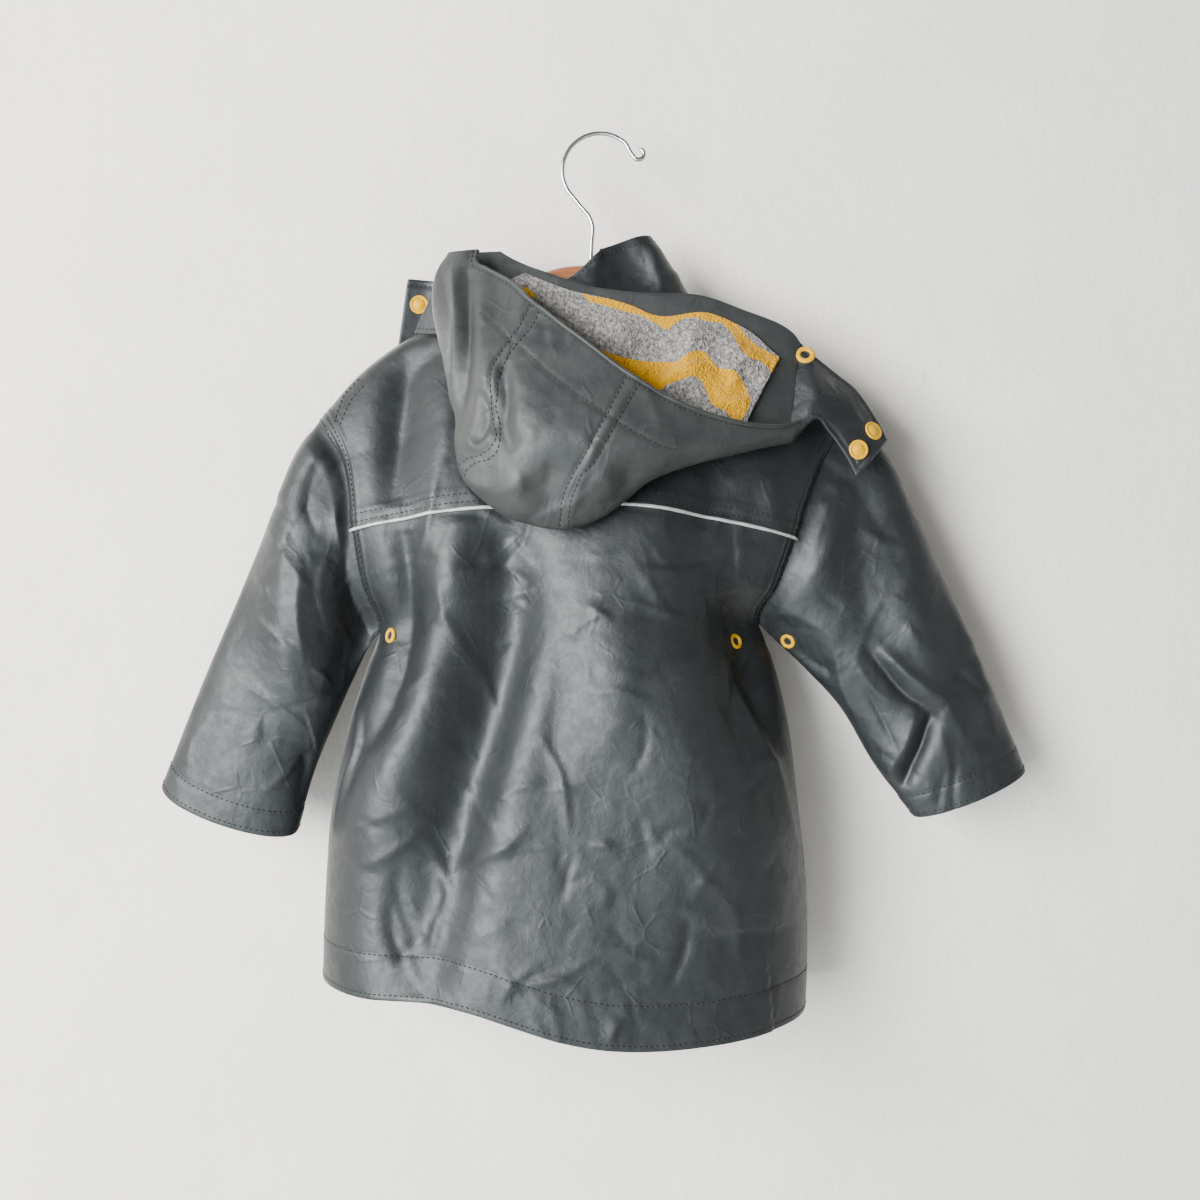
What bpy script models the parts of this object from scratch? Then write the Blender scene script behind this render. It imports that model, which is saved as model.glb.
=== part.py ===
"""A child's hooded raincoat of coated cloth, hung by its shoulders on a wooden hanger.

Sizes are in millimetres and are turned into metres when a mesh is made. +Z is up,
the coat's back faces -Y, the wearer's left is -X, and the origin is the top of the
hanger's hook, inside the wire, where it rests on a nail or a rod.
"""

import math
from collections import namedtuple

import bmesh
import bpy
import numpy as np

MM = 0.001

# ---------------------------------------------------------------- driving sizes, mm

SHELL = 1.6  # wall of the coated cloth
DOUBLE = 2.4  # wall where two layers are sewn flat: collar, chin flap, chin tab
TERRY = 1.6  # wall of the hood's lining
SEAM_GAP = 0.3  # between pieces that are sewn edge to edge
SNAP_DIAMETER = 12.4
SNAP_HEIGHT = 2.4
RING_SNAP_HOLE = 5.0
EYELET_OUTER = 10.0
EYELET_HOLE = 5.4
EYELET_HEIGHT = 1.6
PIPING_DIAMETER = 2.6
PIPING_DOWN = 0.3  # part of a row that the piping lies below the yoke seam
WIRE_DIAMETER = 3.0
HOOK_RADIUS = 24.4  # to the middle of the wire
SEAT_STEPS = 4  # how often a trim piece's foot is brought closer to its wall
STEEP = 0.6  # a wall whose direction has less than this along Y is steep
PLACKET_HALF = 2  # columns of the front that lie double on each side of the middle
FRONT_SNAPS = 5
FRONT_SNAP_BELOW_NECK = 22.0
FRONT_SNAP_ABOVE_HEM = 42.0
COLLAR_OPENING = 3.0  # each end of the collar stands this far from the middle of the front
FLAP_BOW = 4.0  # how far the chin flap bows out between its two edges
SHARP_ANGLE = math.radians(40)  # edges over this angle are shaded as corners

ARMPIT_DOWN = 145.0  # length of the side line from the shoulder's end to the armpit
YOKE_DOWN = 72.0  # and to the yoke seam
HEM_DOWN = 372.0

# ---------------------------------------------------------------- tables

# The shoulder line, measured out from the middle of the neck.
COAT_MIDDLE_X = -11.0
ShoulderPoint = namedtuple("ShoulderPoint", "out z")
SHOULDER_LINE = [
    ShoulderPoint(69.0, -104.0),
    ShoulderPoint(84.0, -113.5),
    ShoulderPoint(100.0, -124.5),
    ShoulderPoint(120.0, -136.0),
    ShoulderPoint(149.0, -159.0),
    ShoulderPoint(171.0, -185.0),
]
NECK_HALF = SHOULDER_LINE[0].out
SHOULDER_HALF = SHOULDER_LINE[-1].out
NECK_Z = SHOULDER_LINE[0].z
BACK_NECK_DROP = 14.0
BACK_NECK_DEPTH = 23.0
FRONT_NECK_DROP = 46.0
FRONT_NECK_DEPTH = 33.0
SHOULDER_ROUND = 6.5  # how far each side of the cloth stands off over the hanger's bar
SHOULDER_ROUND_DOWN = 32.0
# The hem hangs unevenly: where it is lifted, half the width of that stretch, how much.
HEM_LIFT_X = -88.0
HEM_LIFT_HALF_WIDTH = 64.0
HEM_LIFT = 17.0
HEM_LIFT_FROM_DOWN = 290.0

# Cross rows of the body below the shoulder line. `down` is the length of the side line
# from the shoulder's end, left and right are the row's ends, and mid is its middle.
# A row with flat above 1 keeps close to its ends and bulges late; below 1 it is full.
Row = namedtuple("Row", "down left_x left_y left_z right_x right_y right_z mid_y mid_z flat")
BACK_ROWS = [
    Row(32.0, -164.0, -15.0, -213.0, 141.0, -15.0, -214.0, -38.0, -181.0, 1.0),
    Row(72.0, -156.0, -24.0, -257.0, 123.0, -24.0, -262.0, -51.0, -243.0, 1.0),
    Row(108.0, -151.0, -17.0, -291.0, 113.0, -17.0, -292.0, -56.0, -282.0, 1.2),
    Row(145.0, -143.0, 0.0, -322.0, 103.0, 0.0, -317.0, -60.0, -318.0, 1.3),
    Row(168.0, -151.0, 2.0, -345.0, 112.0, 2.0, -340.0, -63.0, -343.0, 1.15),
    Row(200.0, -161.0, 3.0, -377.0, 120.5, 3.0, -373.0, -67.0, -378.0, 0.95),
    Row(255.0, -172.0, 3.0, -431.0, 127.5, 3.0, -432.0, -72.0, -436.0, 0.85),
    Row(315.0, -177.0, 3.0, -492.0, 133.5, 3.0, -500.0, -77.0, -503.0, 0.8),
    Row(372.0, -178.5, 3.0, -543.0, 132.5, 3.0, -561.0, -82.0, -567.5, 0.8),
]
FRONT_ROWS = [
    Row(32.0, -161.0, 13.0, -213.0, 138.0, 13.0, -214.0, 33.0, -192.0, 0.7),
    Row(72.0, -149.0, 21.0, -256.0, 116.0, 21.0, -261.0, 34.0, -246.0, 0.7),
    Row(108.0, -145.0, 15.0, -291.0, 107.0, 15.0, -292.0, 35.0, -284.0, 0.7),
    Row(145.0, -143.0, 0.0, -322.0, 103.0, 0.0, -317.0, 35.0, -320.0, 0.7),
    Row(168.0, -151.0, 2.0, -345.0, 112.0, 2.0, -340.0, 35.0, -343.0, 0.65),
    Row(200.0, -161.0, 3.0, -377.0, 120.5, 3.0, -373.0, 35.5, -377.0, 0.6),
    Row(255.0, -172.0, 3.0, -431.0, 127.5, 3.0, -432.0, 36.0, -434.0, 0.55),
    Row(315.0, -177.0, 3.0, -492.0, 133.5, 3.0, -500.0, 36.0, -498.0, 0.5),
    Row(372.0, -178.5, 3.0, -543.0, 132.5, 3.0, -561.0, 36.0, -559.0, 0.5),
]

# Folds that hang in the cloth: a line of points, half the fold's width, and how far
# it stands out of the cloth (or, below 0, sinks into it).
Fold = namedtuple("Fold", "half_width height line")
BACK_FOLDS = [
    Fold(13.0, 8.0, [(-86, -251), (-90, -293), (-103, -335), (-123, -383), (-151, -446)]),
    Fold(12.0, -9.0, [(-67, -266), (-70, -314), (-86, -374), (-105, -434), (-127, -495)]),
    Fold(13.0, -8.0, [(-128, -278), (-125, -314), (-128, -356), (-134, -383)]),
    Fold(15.0, 4.0, [(-42, -278), (-50, -362), (-66, -416), (-87, -474)]),
    Fold(24.0, 5.0, [(24, -278), (27, -350), (30, -434)]),
    Fold(14.0, -7.0, [(60, -278), (69, -332), (81, -392)]),
    Fold(12.0, 7.0, [(77, -326), (84, -362), (99, -398), (118, -458)]),
]
YOKE_FOLDS = [
    Fold(11.0, -6.0, [(-125, -152), (-132, -196), (-137, -239)]),
    Fold(11.0, 4.0, [(-103, -177), (-100, -208), (-109, -239)]),
]
FRONT_FOLDS = [
    Fold(16.0, 4.0, [(-105.0, -300.0), (-120.0, -400.0), (-130.0, -540.0)]),
    Fold(16.0, -5.0, [(-70.0, -330.0), (-76.0, -430.0), (-82.0, -540.0)]),
    Fold(16.0, 4.0, [(70.0, -300.0), (84.0, -400.0), (92.0, -540.0)]),
]

# The two edges of each sleeve, seen from behind, from the armhole to the cuff.
EdgePoint = namedtuple("EdgePoint", "along x z")
Sleeve = namedtuple("Sleeve", "name side outer inner back_depth front_depth cuff_drop folds")
SLEEVE_LEFT = Sleeve(
    "sleeve_left",
    -1,
    [
        EdgePoint(0.0, -182.0, -185.0),
        EdgePoint(0.12, -195.0, -203.0),
        EdgePoint(0.35, -213.0, -248.0),
        EdgePoint(0.6, -237.0, -306.0),
        EdgePoint(0.8, -260.0, -360.0),
        EdgePoint(1.0, -284.0, -421.0),
    ],
    [
        EdgePoint(0.0, -143.0, -322.0),
        EdgePoint(0.12, -150.0, -332.0),
        EdgePoint(0.35, -160.0, -352.0),
        EdgePoint(0.6, -174.0, -384.0),
        EdgePoint(0.8, -186.0, -414.0),
        EdgePoint(1.0, -196.0, -450.0),
    ],
    [(0.0, 25.0), (0.35, 27.0), (0.7, 21.0), (1.0, 17.0)],
    [(0.0, 22.0), (0.35, 21.0), (0.7, 18.0), (1.0, 15.0)],
    10.0,
    [
        Fold(10.0, 6.0, [(-175, -200), (-189, -238), (-195, -283), (-196, -334), (-190, -365)]),
        Fold(10.0, -7.0, [(-168, -251), (-183, -289), (-185, -327), (-178, -372)]),
        Fold(12.0, -3.0, [(-208, -251), (-221, -302), (-228, -340)]),
    ],
)
SLEEVE_RIGHT = Sleeve(
    "sleeve_right",
    1,
    [
        EdgePoint(0.0, 160.0, -185.0),
        EdgePoint(0.12, 181.0, -200.0),
        EdgePoint(0.35, 207.0, -252.0),
        EdgePoint(0.6, 232.0, -308.0),
        EdgePoint(0.8, 253.5, -356.0),
        EdgePoint(1.0, 275.5, -411.0),
    ],
    [
        EdgePoint(0.0, 103.0, -317.0),
        EdgePoint(0.12, 113.0, -327.0),
        EdgePoint(0.35, 133.0, -346.0),
        EdgePoint(0.6, 158.0, -374.0),
        EdgePoint(0.8, 178.0, -408.0),
        EdgePoint(1.0, 203.0, -441.0),
    ],
    [(0.0, 25.0), (0.35, 27.0), (0.7, 21.0), (1.0, 17.0)],
    [(0.0, 22.0), (0.35, 21.0), (0.7, 18.0), (1.0, 15.0)],
    4.0,
    [
        Fold(11.0, -6.0, [(159, -219), (167, -276), (171, -315), (181, -340)]),
        Fold(11.0, 5.0, [(150, -225), (144, -264), (129, -295)]),
        Fold(12.0, 4.0, [(191, -238), (207, -289), (223, -340), (239, -391)]),
        Fold(9.0, -5.0, [(210, -376), (201, -400), (192, -420)]),
    ],
)

# The hood hangs down the back as an open bag. Each row is a cut across it: near is the
# face edge, then the outer wall goes over front and round fold, and comes up to far,
# the neck edge. x, y and z of each.
HoodCut = namedtuple("HoodCut", "near front fold back far")
HOOD_CUTS = [
    HoodCut((-76, -38, -84), (-86, -38, -85), (-95, -30, -84), (-80, -24, -83), (-63, -23, -82)),
    HoodCut((-77, -43, -93), (-91, -45, -107), (-103, -32, -98), (-80, -27, -92), (-55, -24, -87)),
    HoodCut((-69, -49, -99), (-89, -55, -127), (-104, -38, -118), (-78, -31, -107), (-45, -26, -92)),
    HoodCut((-55, -57, -108), (-79, -66, -145), (-98, -46, -146), (-68, -36, -124), (-35, -28, -96)),
    HoodCut((-48, -63, -115), (-72, -76, -162), (-88, -58, -185), (-56, -42, -144), (-22, -30, -101)),
    HoodCut((-41, -69, -123), (-63, -85, -180), (-84, -68, -221), (-46, -48, -163), (-6, -31, -106)),
    HoodCut((-13, -80, -146), (-37, -99, -209), (-62, -73, -247), (-20, -54, -180), (25, -31, -110)),
    HoodCut((16, -87, -169), (-6, -99, -214), (-24, -74, -260), (18, -54, -188), (62, -29, -111)),
    HoodCut((47, -83, -186), (24, -93, -217), (9, -72, -249), (48, -51, -184), (91, -26, -120)),
    HoodCut((82, -72, -196), (54, -80, -214), (38, -68, -226), (74, -46, -175), (111, -24, -127)),
    HoodCut((108, -60, -197), (90, -66, -208), (80, -57, -212), (100, -40, -171), (121, -23, -133)),
    HoodCut((124, -52, -192), (119, -56, -199), (117, -45, -204), (121, -33, -171), (126, -22, -139)),
]
SEAM_LEFT_CUT = 5  # the hood's two lengthwise seams run along these cuts
SEAM_RIGHT_CUT = 7
# How far up the neck edge's wall the lining reaches: (cut, part of the cut from 1 to 2).
LINING_TOP = [
    (2.5, 1.9),
    (4.0, 1.93),
    (6.0, 1.93),
    (6.6, 1.89),
    (7.3, 1.93),
    (8.0, 1.92),
    (10.0, 1.76),
]

# The chin flap carries the hood's right end over the shoulder: face edge, neck edge.
FlapCut = namedtuple("FlapCut", "face neck")
FLAP_CUTS = [
    FlapCut((133, -43, -189), (134, -24, -147)),
    FlapCut((142, -40, -197), (150, -24, -160)),
    FlapCut((149, -39, -206), (162, -24, -170)),
    FlapCut((155, -38, -215), (174, -25, -188)),
    FlapCut((159.5, -37, -224), (180, -28, -201)),
]
# The left chin tab stands behind the shoulder and turns in round the neck: top, bottom.
TAB_CUTS = [
    ((-126, 12, -91), (-133, 12, -141)),
    ((-113, 13, -92), (-119, 14, -137)),
    ((-103, 9, -94), (-106, 12, -124)),
    ((-97, -1, -95), (-99, 0, -113)),
    ((-96, -11, -96), (-98, -11, -112)),
]
# The hood's neck edge lies over the left shoulder below its folds: top, bottom.
NECK_LAP_CUTS = [
    ((-106, -15, -103), (-119, -10, -130)),
    ((-98, -20, -99), (-108, -17, -132)),
    ((-90, -24, -98), (-97, -24, -133)),
    ((-82, -28, -99), (-84, -29, -133)),
]
# Round the neck from the front's right edge: how far the collar's top leans and rises
# from the neckline.
CollarPoint = namedtuple("CollarPoint", "around lean_x lean_y rise")
COLLAR_POINTS = [
    CollarPoint(0.0, 0.0, -2.0, 34.0),
    CollarPoint(0.5, -8.0, -6.0, 37.0),
    CollarPoint(1.0, -24.0, -3.0, 38.0),
    CollarPoint(1.4, -21.0, 4.0, 38.0),
    CollarPoint(1.7, -7.0, 6.0, 39.0),
    CollarPoint(2.0, 9.0, 4.0, 36.0),
    CollarPoint(2.3, 10.0, 3.0, 18.0),
    CollarPoint(2.7, 6.0, 4.0, 10.0),
    CollarPoint(3.0, 6.0, 0.0, 11.0),
    CollarPoint(3.5, 8.0, -5.0, 26.0),
    CollarPoint(4.0, 0.0, -4.0, 34.0),
]

# The hanger's bar: distance out from the hook, top edge, height and thickness.
BarCut = namedtuple("BarCut", "out top height thick")
HANGER_MIDDLE_X = -6.0
BAR_CUTS = [
    BarCut(0.0, -84.5, 24.0, 12.0),
    BarCut(22.0, -86.5, 23.0, 12.0),
    BarCut(45.0, -96.5, 21.0, 12.0),
    BarCut(68.0, -113.0, 19.0, 11.0),
    BarCut(95.0, -131.0, 18.0, 11.0),
    BarCut(120.0, -147.0, 16.0, 10.5),
    BarCut(142.0, -164.0, 14.0, 9.5),
    BarCut(150.0, -172.0, 9.0, 6.0),
]
# The hook's wire from the bar up to the start of its round top, and its small end loop.
HOOK_STEM = [(-6.0, -83.8), (-5.4, -70.0), (-5.0, -58.0), (-6.6, -53.5), (-13.0, -45.5)]
HOOK_EYE = [(20.4, -11.6), (24.0, -15.4), (27.6, -14.6), (28.6, -11.2), (25.8, -8.0)]
HOOK_FROM_DEG = 224.0
HOOK_TO_DEG = 48.0

# Snaps and eyelets: a point near the wall that each one stands on.
LEFT_TAB_SNAP = np.array([-119.0, 12.0, -107.0])
RING_SNAP = np.array([129.0, -25.0, -147.0])
FLAP_SNAPS = np.array([[171.0, -30.0, -196.0], [160.5, -36.0, -208.5]])
BODY_EYELETS = np.array([[-132.5, -27.0, -324.5], [88.0, -25.0, -326.5]])
SLEEVE_EYELETS = np.array([[-162.0, 14.0, -338.0], [119.5, -10.0, -330.0]])


# ---------------------------------------------------------------- curves and grids


def smooth_rows(knots, rows, at):
    """A smooth curve through rows of numbers, one row for each knot, read at `at`."""
    knots = np.asarray(knots, float)
    rows = np.asarray(rows, float)
    at = np.asarray(at, float)
    slopes = np.empty_like(rows)
    steps = np.diff(knots).reshape((-1,) + (1,) * (rows.ndim - 1))
    rises = np.diff(rows, axis=0) / steps
    slopes[0] = rises[0]
    slopes[-1] = rises[-1]
    before = steps[:-1]
    after = steps[1:]
    slopes[1:-1] = (rises[:-1] * after + rises[1:] * before) / (before + after)
    place = np.clip(np.searchsorted(knots, at, side="right") - 1, 0, len(knots) - 2)
    width = (knots[place + 1] - knots[place]).reshape(at.shape + (1,) * (rows.ndim - 1))
    part = ((at - knots[place]) / (knots[place + 1] - knots[place])).reshape(width.shape)
    start = (1 + 2 * part) * (1 - part) ** 2
    end = part**2 * (3 - 2 * part)
    leave = part * (1 - part) ** 2 * width
    arrive = part**2 * (part - 1) * width
    return (
        start * rows[place]
        + end * rows[place + 1]
        + leave * slopes[place]
        + arrive * slopes[place + 1]
    )


def unit(vectors):
    """Vectors of length 1 along the last axis."""
    lengths = np.linalg.norm(vectors, axis=-1, keepdims=True)
    return vectors / np.maximum(lengths, 1e-9)


def inward_normals(points, toward, ring=False):
    """Directions square to a grid of points, on the side of `toward` (a sign)."""
    if ring:
        around = np.roll(points, -1, axis=1) - np.roll(points, 1, axis=1)
    else:
        around = np.gradient(points, axis=1)
    along = np.gradient(points, axis=0)
    return toward * unit(np.cross(around, along))


def relief(folds, x, z):
    """Height of all the folds at points (x, z), each a rounded ridge that fades at its ends."""
    total = np.zeros_like(x)
    for fold in folds:
        line = np.array(fold.line)
        lengths = np.linalg.norm(np.diff(line, axis=0), axis=1)
        passed = np.concatenate([[0.0], np.cumsum(lengths)])
        nearest = np.full(x.shape, np.inf)
        place = np.zeros(x.shape)
        for start, end, length, before in zip(line, line[1:], lengths, passed):
            run = (end - start) / length
            along = (x - start[0]) * run[0] + (z - start[1]) * run[1]
            along = np.clip(along, 0.0, length)
            away = np.hypot(x - start[0] - along * run[0], z - start[1] - along * run[1])
            closer = away < nearest
            nearest = np.where(closer, away, nearest)
            place = np.where(closer, before + along, place)
        ends = np.sin(math.pi * np.clip(place / passed[-1], 0.0, 1.0)) ** 0.6
        total += fold.height * np.exp(-((nearest / fold.half_width) ** 2)) * (0.35 + 0.65 * ends)
    return total


def smooth_step(value):
    """0 below 0, 1 above 1, and a smooth rise between."""
    value = np.clip(value, 0.0, 1.0)
    return value * value * (3.0 - 2.0 * value)


# ---------------------------------------------------------------- the body's surface

SHOULDER_COLUMNS = 9
NECK_COLUMNS = 12
NECK_ANGLE = math.asin(NECK_HALF / SHOULDER_HALF)
COLUMN_ANGLES = np.concatenate(
    [
        np.linspace(-math.pi / 2, -NECK_ANGLE, SHOULDER_COLUMNS + 1)[:-1],
        np.linspace(-NECK_ANGLE, NECK_ANGLE, NECK_COLUMNS + 1),
        np.linspace(NECK_ANGLE, math.pi / 2, SHOULDER_COLUMNS + 1)[1:],
    ]
)
NECK_FIRST = SHOULDER_COLUMNS
NECK_LAST = SHOULDER_COLUMNS + NECK_COLUMNS
MIDDLE_COLUMN = (NECK_FIRST + NECK_LAST) // 2
YOKE_LEVELS = [0.0, 1.2, 4.0, 10.0, 20.0, 32.0, 46.0, 60.0, YOKE_DOWN]
ARMHOLE_LEVELS = [84.0, 96.0, 108.0, 121.0, 133.0, ARMPIT_DOWN]
LOWER_LEVELS = [156.0, 170.0, 187.0, 208.0, 234.0, 262.0, 292.0, 322.0, 348.0, HEM_DOWN]
LEVELS = np.array(YOKE_LEVELS + ARMHOLE_LEVELS + LOWER_LEVELS)
YOKE_ROW = len(YOKE_LEVELS) - 1
ARMPIT_ROW = YOKE_ROW + len(ARMHOLE_LEVELS)


def shoulder_height(out):
    """Height of the shoulder line at a distance from the middle of the neck."""
    table = np.array(SHOULDER_LINE)
    return smooth_rows(table[:, 0], table[:, 1:2], np.maximum(out, NECK_HALF))[..., 0]


def top_row(angles, neck_depth, neck_drop):
    """The shoulder lines and, between them, the neckline's half round."""
    across = np.sin(angles) * SHOULDER_HALF
    part = np.clip(across / NECK_HALF, -1.0, 1.0)
    bow = np.sqrt(1.0 - part**2)
    x = COAT_MIDDLE_X + across
    y = neck_depth * bow
    z = shoulder_height(np.abs(across)) - neck_drop * (1.0 - part**2)
    return np.stack([x, y, z], axis=-1)


def cross_row(row, angles):
    """One row of the body: an arc from its left end over its middle to its right end."""
    part = (1.0 + np.sin(angles)) / 2.0
    full = np.cos(angles)
    x = row.left_x + (row.right_x - row.left_x) * part
    side_y = row.left_y + (row.right_y - row.left_y) * part
    side_z = row.left_z + (row.right_z - row.left_z) * part
    y = side_y + (row.mid_y - (row.left_y + row.right_y) / 2) * np.abs(full) ** row.flat
    z = side_z + (row.mid_z - (row.left_z + row.right_z) / 2) * full**2
    return np.stack([x, y, z], axis=-1)


def body_sheet(rows, neck_depth, neck_drop, folds, face):
    """The outer points of the whole back (face -1) or front (face 1), without seams."""
    knots = [0.0] + [row.down for row in rows]
    cuts = [top_row(COLUMN_ANGLES, neck_depth, neck_drop)]
    cuts += [cross_row(row, COLUMN_ANGLES) for row in rows]
    points = smooth_rows(knots, np.stack(cuts), LEVELS)
    near_top = np.clip(LEVELS / SHOULDER_ROUND_DOWN, 0.0, 1.0)
    round_over = SHOULDER_ROUND * np.sin(math.pi * np.sqrt(near_top))
    out = np.abs(np.sin(COLUMN_ANGLES)) * SHOULDER_HALF
    on_shoulder = smooth_step((out - 0.5 * NECK_HALF) / (0.5 * NECK_HALF))
    points[..., 1] += face * round_over[:, None] * on_shoulder
    low = smooth_step((LEVELS - HEM_LIFT_FROM_DOWN) / (HEM_DOWN - HEM_LIFT_FROM_DOWN))[:, None]
    near_lift = np.exp(-(((points[..., 0] - HEM_LIFT_X) / HEM_LIFT_HALF_WIDTH) ** 2))
    points[..., 2] += HEM_LIFT * low * near_lift
    away_from_edges = smooth_step((LEVELS - 30.0) / 50.0)[:, None]
    away_from_edges = away_from_edges * np.cos(COLUMN_ANGLES) ** 0.5
    points[..., 1] += face * relief(folds, points[..., 0], points[..., 2]) * away_from_edges
    return points


BACK = body_sheet(BACK_ROWS, -BACK_NECK_DEPTH, BACK_NECK_DROP, BACK_FOLDS + YOKE_FOLDS, -1)
FRONT = body_sheet(FRONT_ROWS, FRONT_NECK_DEPTH, FRONT_NECK_DROP, FRONT_FOLDS, 1)
# The side seams: below the armpits both sheets end in one line.
for side_column in (0, -1):
    side_seam = (BACK[ARMPIT_ROW:, side_column] + FRONT[ARMPIT_ROW:, side_column]) / 2
    BACK[ARMPIT_ROW:, side_column] = side_seam
    FRONT[ARMPIT_ROW:, side_column] = side_seam


def armhole_middle(side):
    """The middle of an armhole's loop, for the side -1 (left) or 1 (right)."""
    column = 0 if side < 0 else -1
    loop = np.concatenate([BACK[: ARMPIT_ROW + 1, column], FRONT[: ARMPIT_ROW + 1, column]])
    return loop.mean(axis=0)


def sheet_inward(points, face):
    """Which way each point's wall goes, the same for all the pieces that meet in a seam."""
    inward = inward_normals(points, -face)
    other = inward_normals(BACK if face > 0 else FRONT, face)
    for column, side in ((0, -1), (-1, 1)):
        armhole = points[: ARMPIT_ROW + 1, column]
        inward[: ARMPIT_ROW + 1, column] = unit(armhole_middle(side) - armhole)
        shared = unit(inward[ARMPIT_ROW + 1 :, column] + other[ARMPIT_ROW + 1 :, column])
        inward[ARMPIT_ROW + 1 :, column] = shared
    along = np.gradient(points[0], axis=0)
    down = np.stack([along[:, 2], 0 * along[:, 0], -along[:, 0]], axis=-1)
    shoulders = list(range(1, NECK_FIRST + 1)) + list(range(NECK_LAST, len(COLUMN_ANGLES) - 1))
    inward[0, shoulders] = unit(down)[shoulders]
    return inward


BACK_INWARD = sheet_inward(BACK, -1)
FRONT_INWARD = sheet_inward(FRONT, 1)


# ---------------------------------------------------------------- meshes


def new_object(name, points, faces, material):
    """A mesh object from points in millimetres, its faces turned outwards."""
    mesh = bpy.data.meshes.new(name)
    mesh.from_pydata((np.asarray(points) * MM).tolist(), [], faces)
    edit = bmesh.new()
    edit.from_mesh(mesh)
    bmesh.ops.recalc_face_normals(edit, faces=edit.faces)
    edit.to_mesh(mesh)
    edit.free()
    mesh.materials.append(material)
    mesh.shade_smooth()
    mesh.set_sharp_from_angle(angle=SHARP_ANGLE)
    obj = bpy.data.objects.new(name, mesh)
    bpy.context.scene.collection.objects.link(obj)
    return obj


def pull_in(outer, inner, edges):
    """Moves the named edges of both faces of a wall half a seam gap into the piece."""
    outer = outer.copy()
    inner = inner.copy()
    places = {
        "top": ((0, slice(None)), (1, slice(None))),
        "bottom": ((-1, slice(None)), (-2, slice(None))),
        "left": ((slice(None), 0), (slice(None), 1)),
        "right": ((slice(None), -1), (slice(None), -2)),
    }
    for edge in edges:
        at, beside = places[edge]
        move = unit(outer[beside] - outer[at]) * SEAM_GAP / 2
        outer[at] += move
        inner[at] += move
    return outer, inner


def wall(name, outer, inward, thickness, material, edges=(), ring=False):
    """A closed cloth wall: the outer grid, the same grid moved inwards, and its rims."""
    inner = outer + inward * thickness
    outer, inner = pull_in(outer, inner, edges)
    rows, columns = outer.shape[:2]
    points = np.concatenate([outer.reshape(-1, 3), inner.reshape(-1, 3)])
    index = np.arange(rows * columns).reshape(rows, columns)
    under = index + rows * columns
    faces = []
    for side in (index, under):
        faces += grid_faces(side, ring)
    for row in (0, rows - 1):
        faces += rim_faces(index[row], under[row], ring)
    if not ring:
        for column in (0, columns - 1):
            faces += rim_faces(index[:, column], under[:, column], False)
    return new_object(name, points, faces, material)


def grid_faces(index, ring):
    """The four-sided faces of a grid of point numbers."""
    beside = np.roll(index, -1, axis=1)
    last = None if ring else -1
    corners = (index[:-1, :last], beside[:-1, :last], beside[1:, :last], index[1:, :last])
    return np.stack(corners, axis=-1).reshape(-1, 4).tolist()


def rim_faces(outer, inner, ring):
    """Triangles between two edges, cut the same way on both sides of a seam."""
    last = None if ring else -1
    next_outer = np.roll(outer, -1)[:last]
    next_inner = np.roll(inner, -1)[:last]
    outer = outer[:last]
    inner = inner[:last]
    first = np.stack([outer, next_outer, next_inner], axis=-1)
    second = np.stack([outer, next_inner, inner], axis=-1)
    return np.concatenate([first, second]).tolist()


def tube(name, path, radius, sides, material):
    """A round bar along a path of points, closed with flat ends."""
    path = np.asarray(path, float)
    runs = unit(np.gradient(path, axis=0))
    side = unit(np.cross(runs[0], (0.31, 0.87, 0.38)))
    rings = []
    for point, run in zip(path, runs):
        side = unit(side - run * (side @ run))
        other = np.cross(run, side)
        turn = np.arange(sides) * 2 * math.pi / sides
        spokes = np.outer(np.cos(turn), side) + np.outer(np.sin(turn), other)
        rings.append(point + radius * spokes)
    return lofted(name, np.stack(rings), material)


def lofted(name, rings, material):
    """A closed body through rings of points, with flat ends."""
    count, sides = rings.shape[:2]
    index = np.arange(count * sides).reshape(count, sides)
    faces = grid_faces(index, True)
    faces.append(index[0][::-1].tolist())
    faces.append(index[-1].tolist())
    return new_object(name, rings.reshape(-1, 3), faces, material)


def turned(name, profile, centre, axis, material, sides=16, ring=False):
    """A turned body: (radius, height) pairs spun round `axis` through `centre`."""
    axis = unit(np.asarray(axis, float))
    side = unit(np.cross(axis, (0.12, 0.31, 0.94)))
    other = np.cross(axis, side)
    turn = np.arange(sides) * 2 * math.pi / sides
    spokes = np.outer(np.cos(turn), side) + np.outer(np.sin(turn), other)
    rings = [np.asarray(centre) + radius * spokes + height * axis for radius, height in profile]
    if not ring:
        return lofted(name, np.stack(rings), material)
    index = np.arange(len(rings) * sides).reshape(len(rings), sides)
    faces = grid_faces(np.concatenate([index, index[:1]]), True)
    return new_object(name, np.concatenate(rings), faces, material)


def principled(name, colour, roughness, metallic=0.0):
    """A material of one colour."""
    material = bpy.data.materials.new(name)
    material.use_nodes = True
    shader = material.node_tree.nodes["Principled BSDF"]
    shader.inputs["Base Color"].default_value = (*colour, 1.0)
    shader.inputs["Roughness"].default_value = roughness
    shader.inputs["Metallic"].default_value = metallic
    material.diffuse_color = (*colour, 1.0)
    return material


# ---------------------------------------------------------------- the body's pieces


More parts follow.
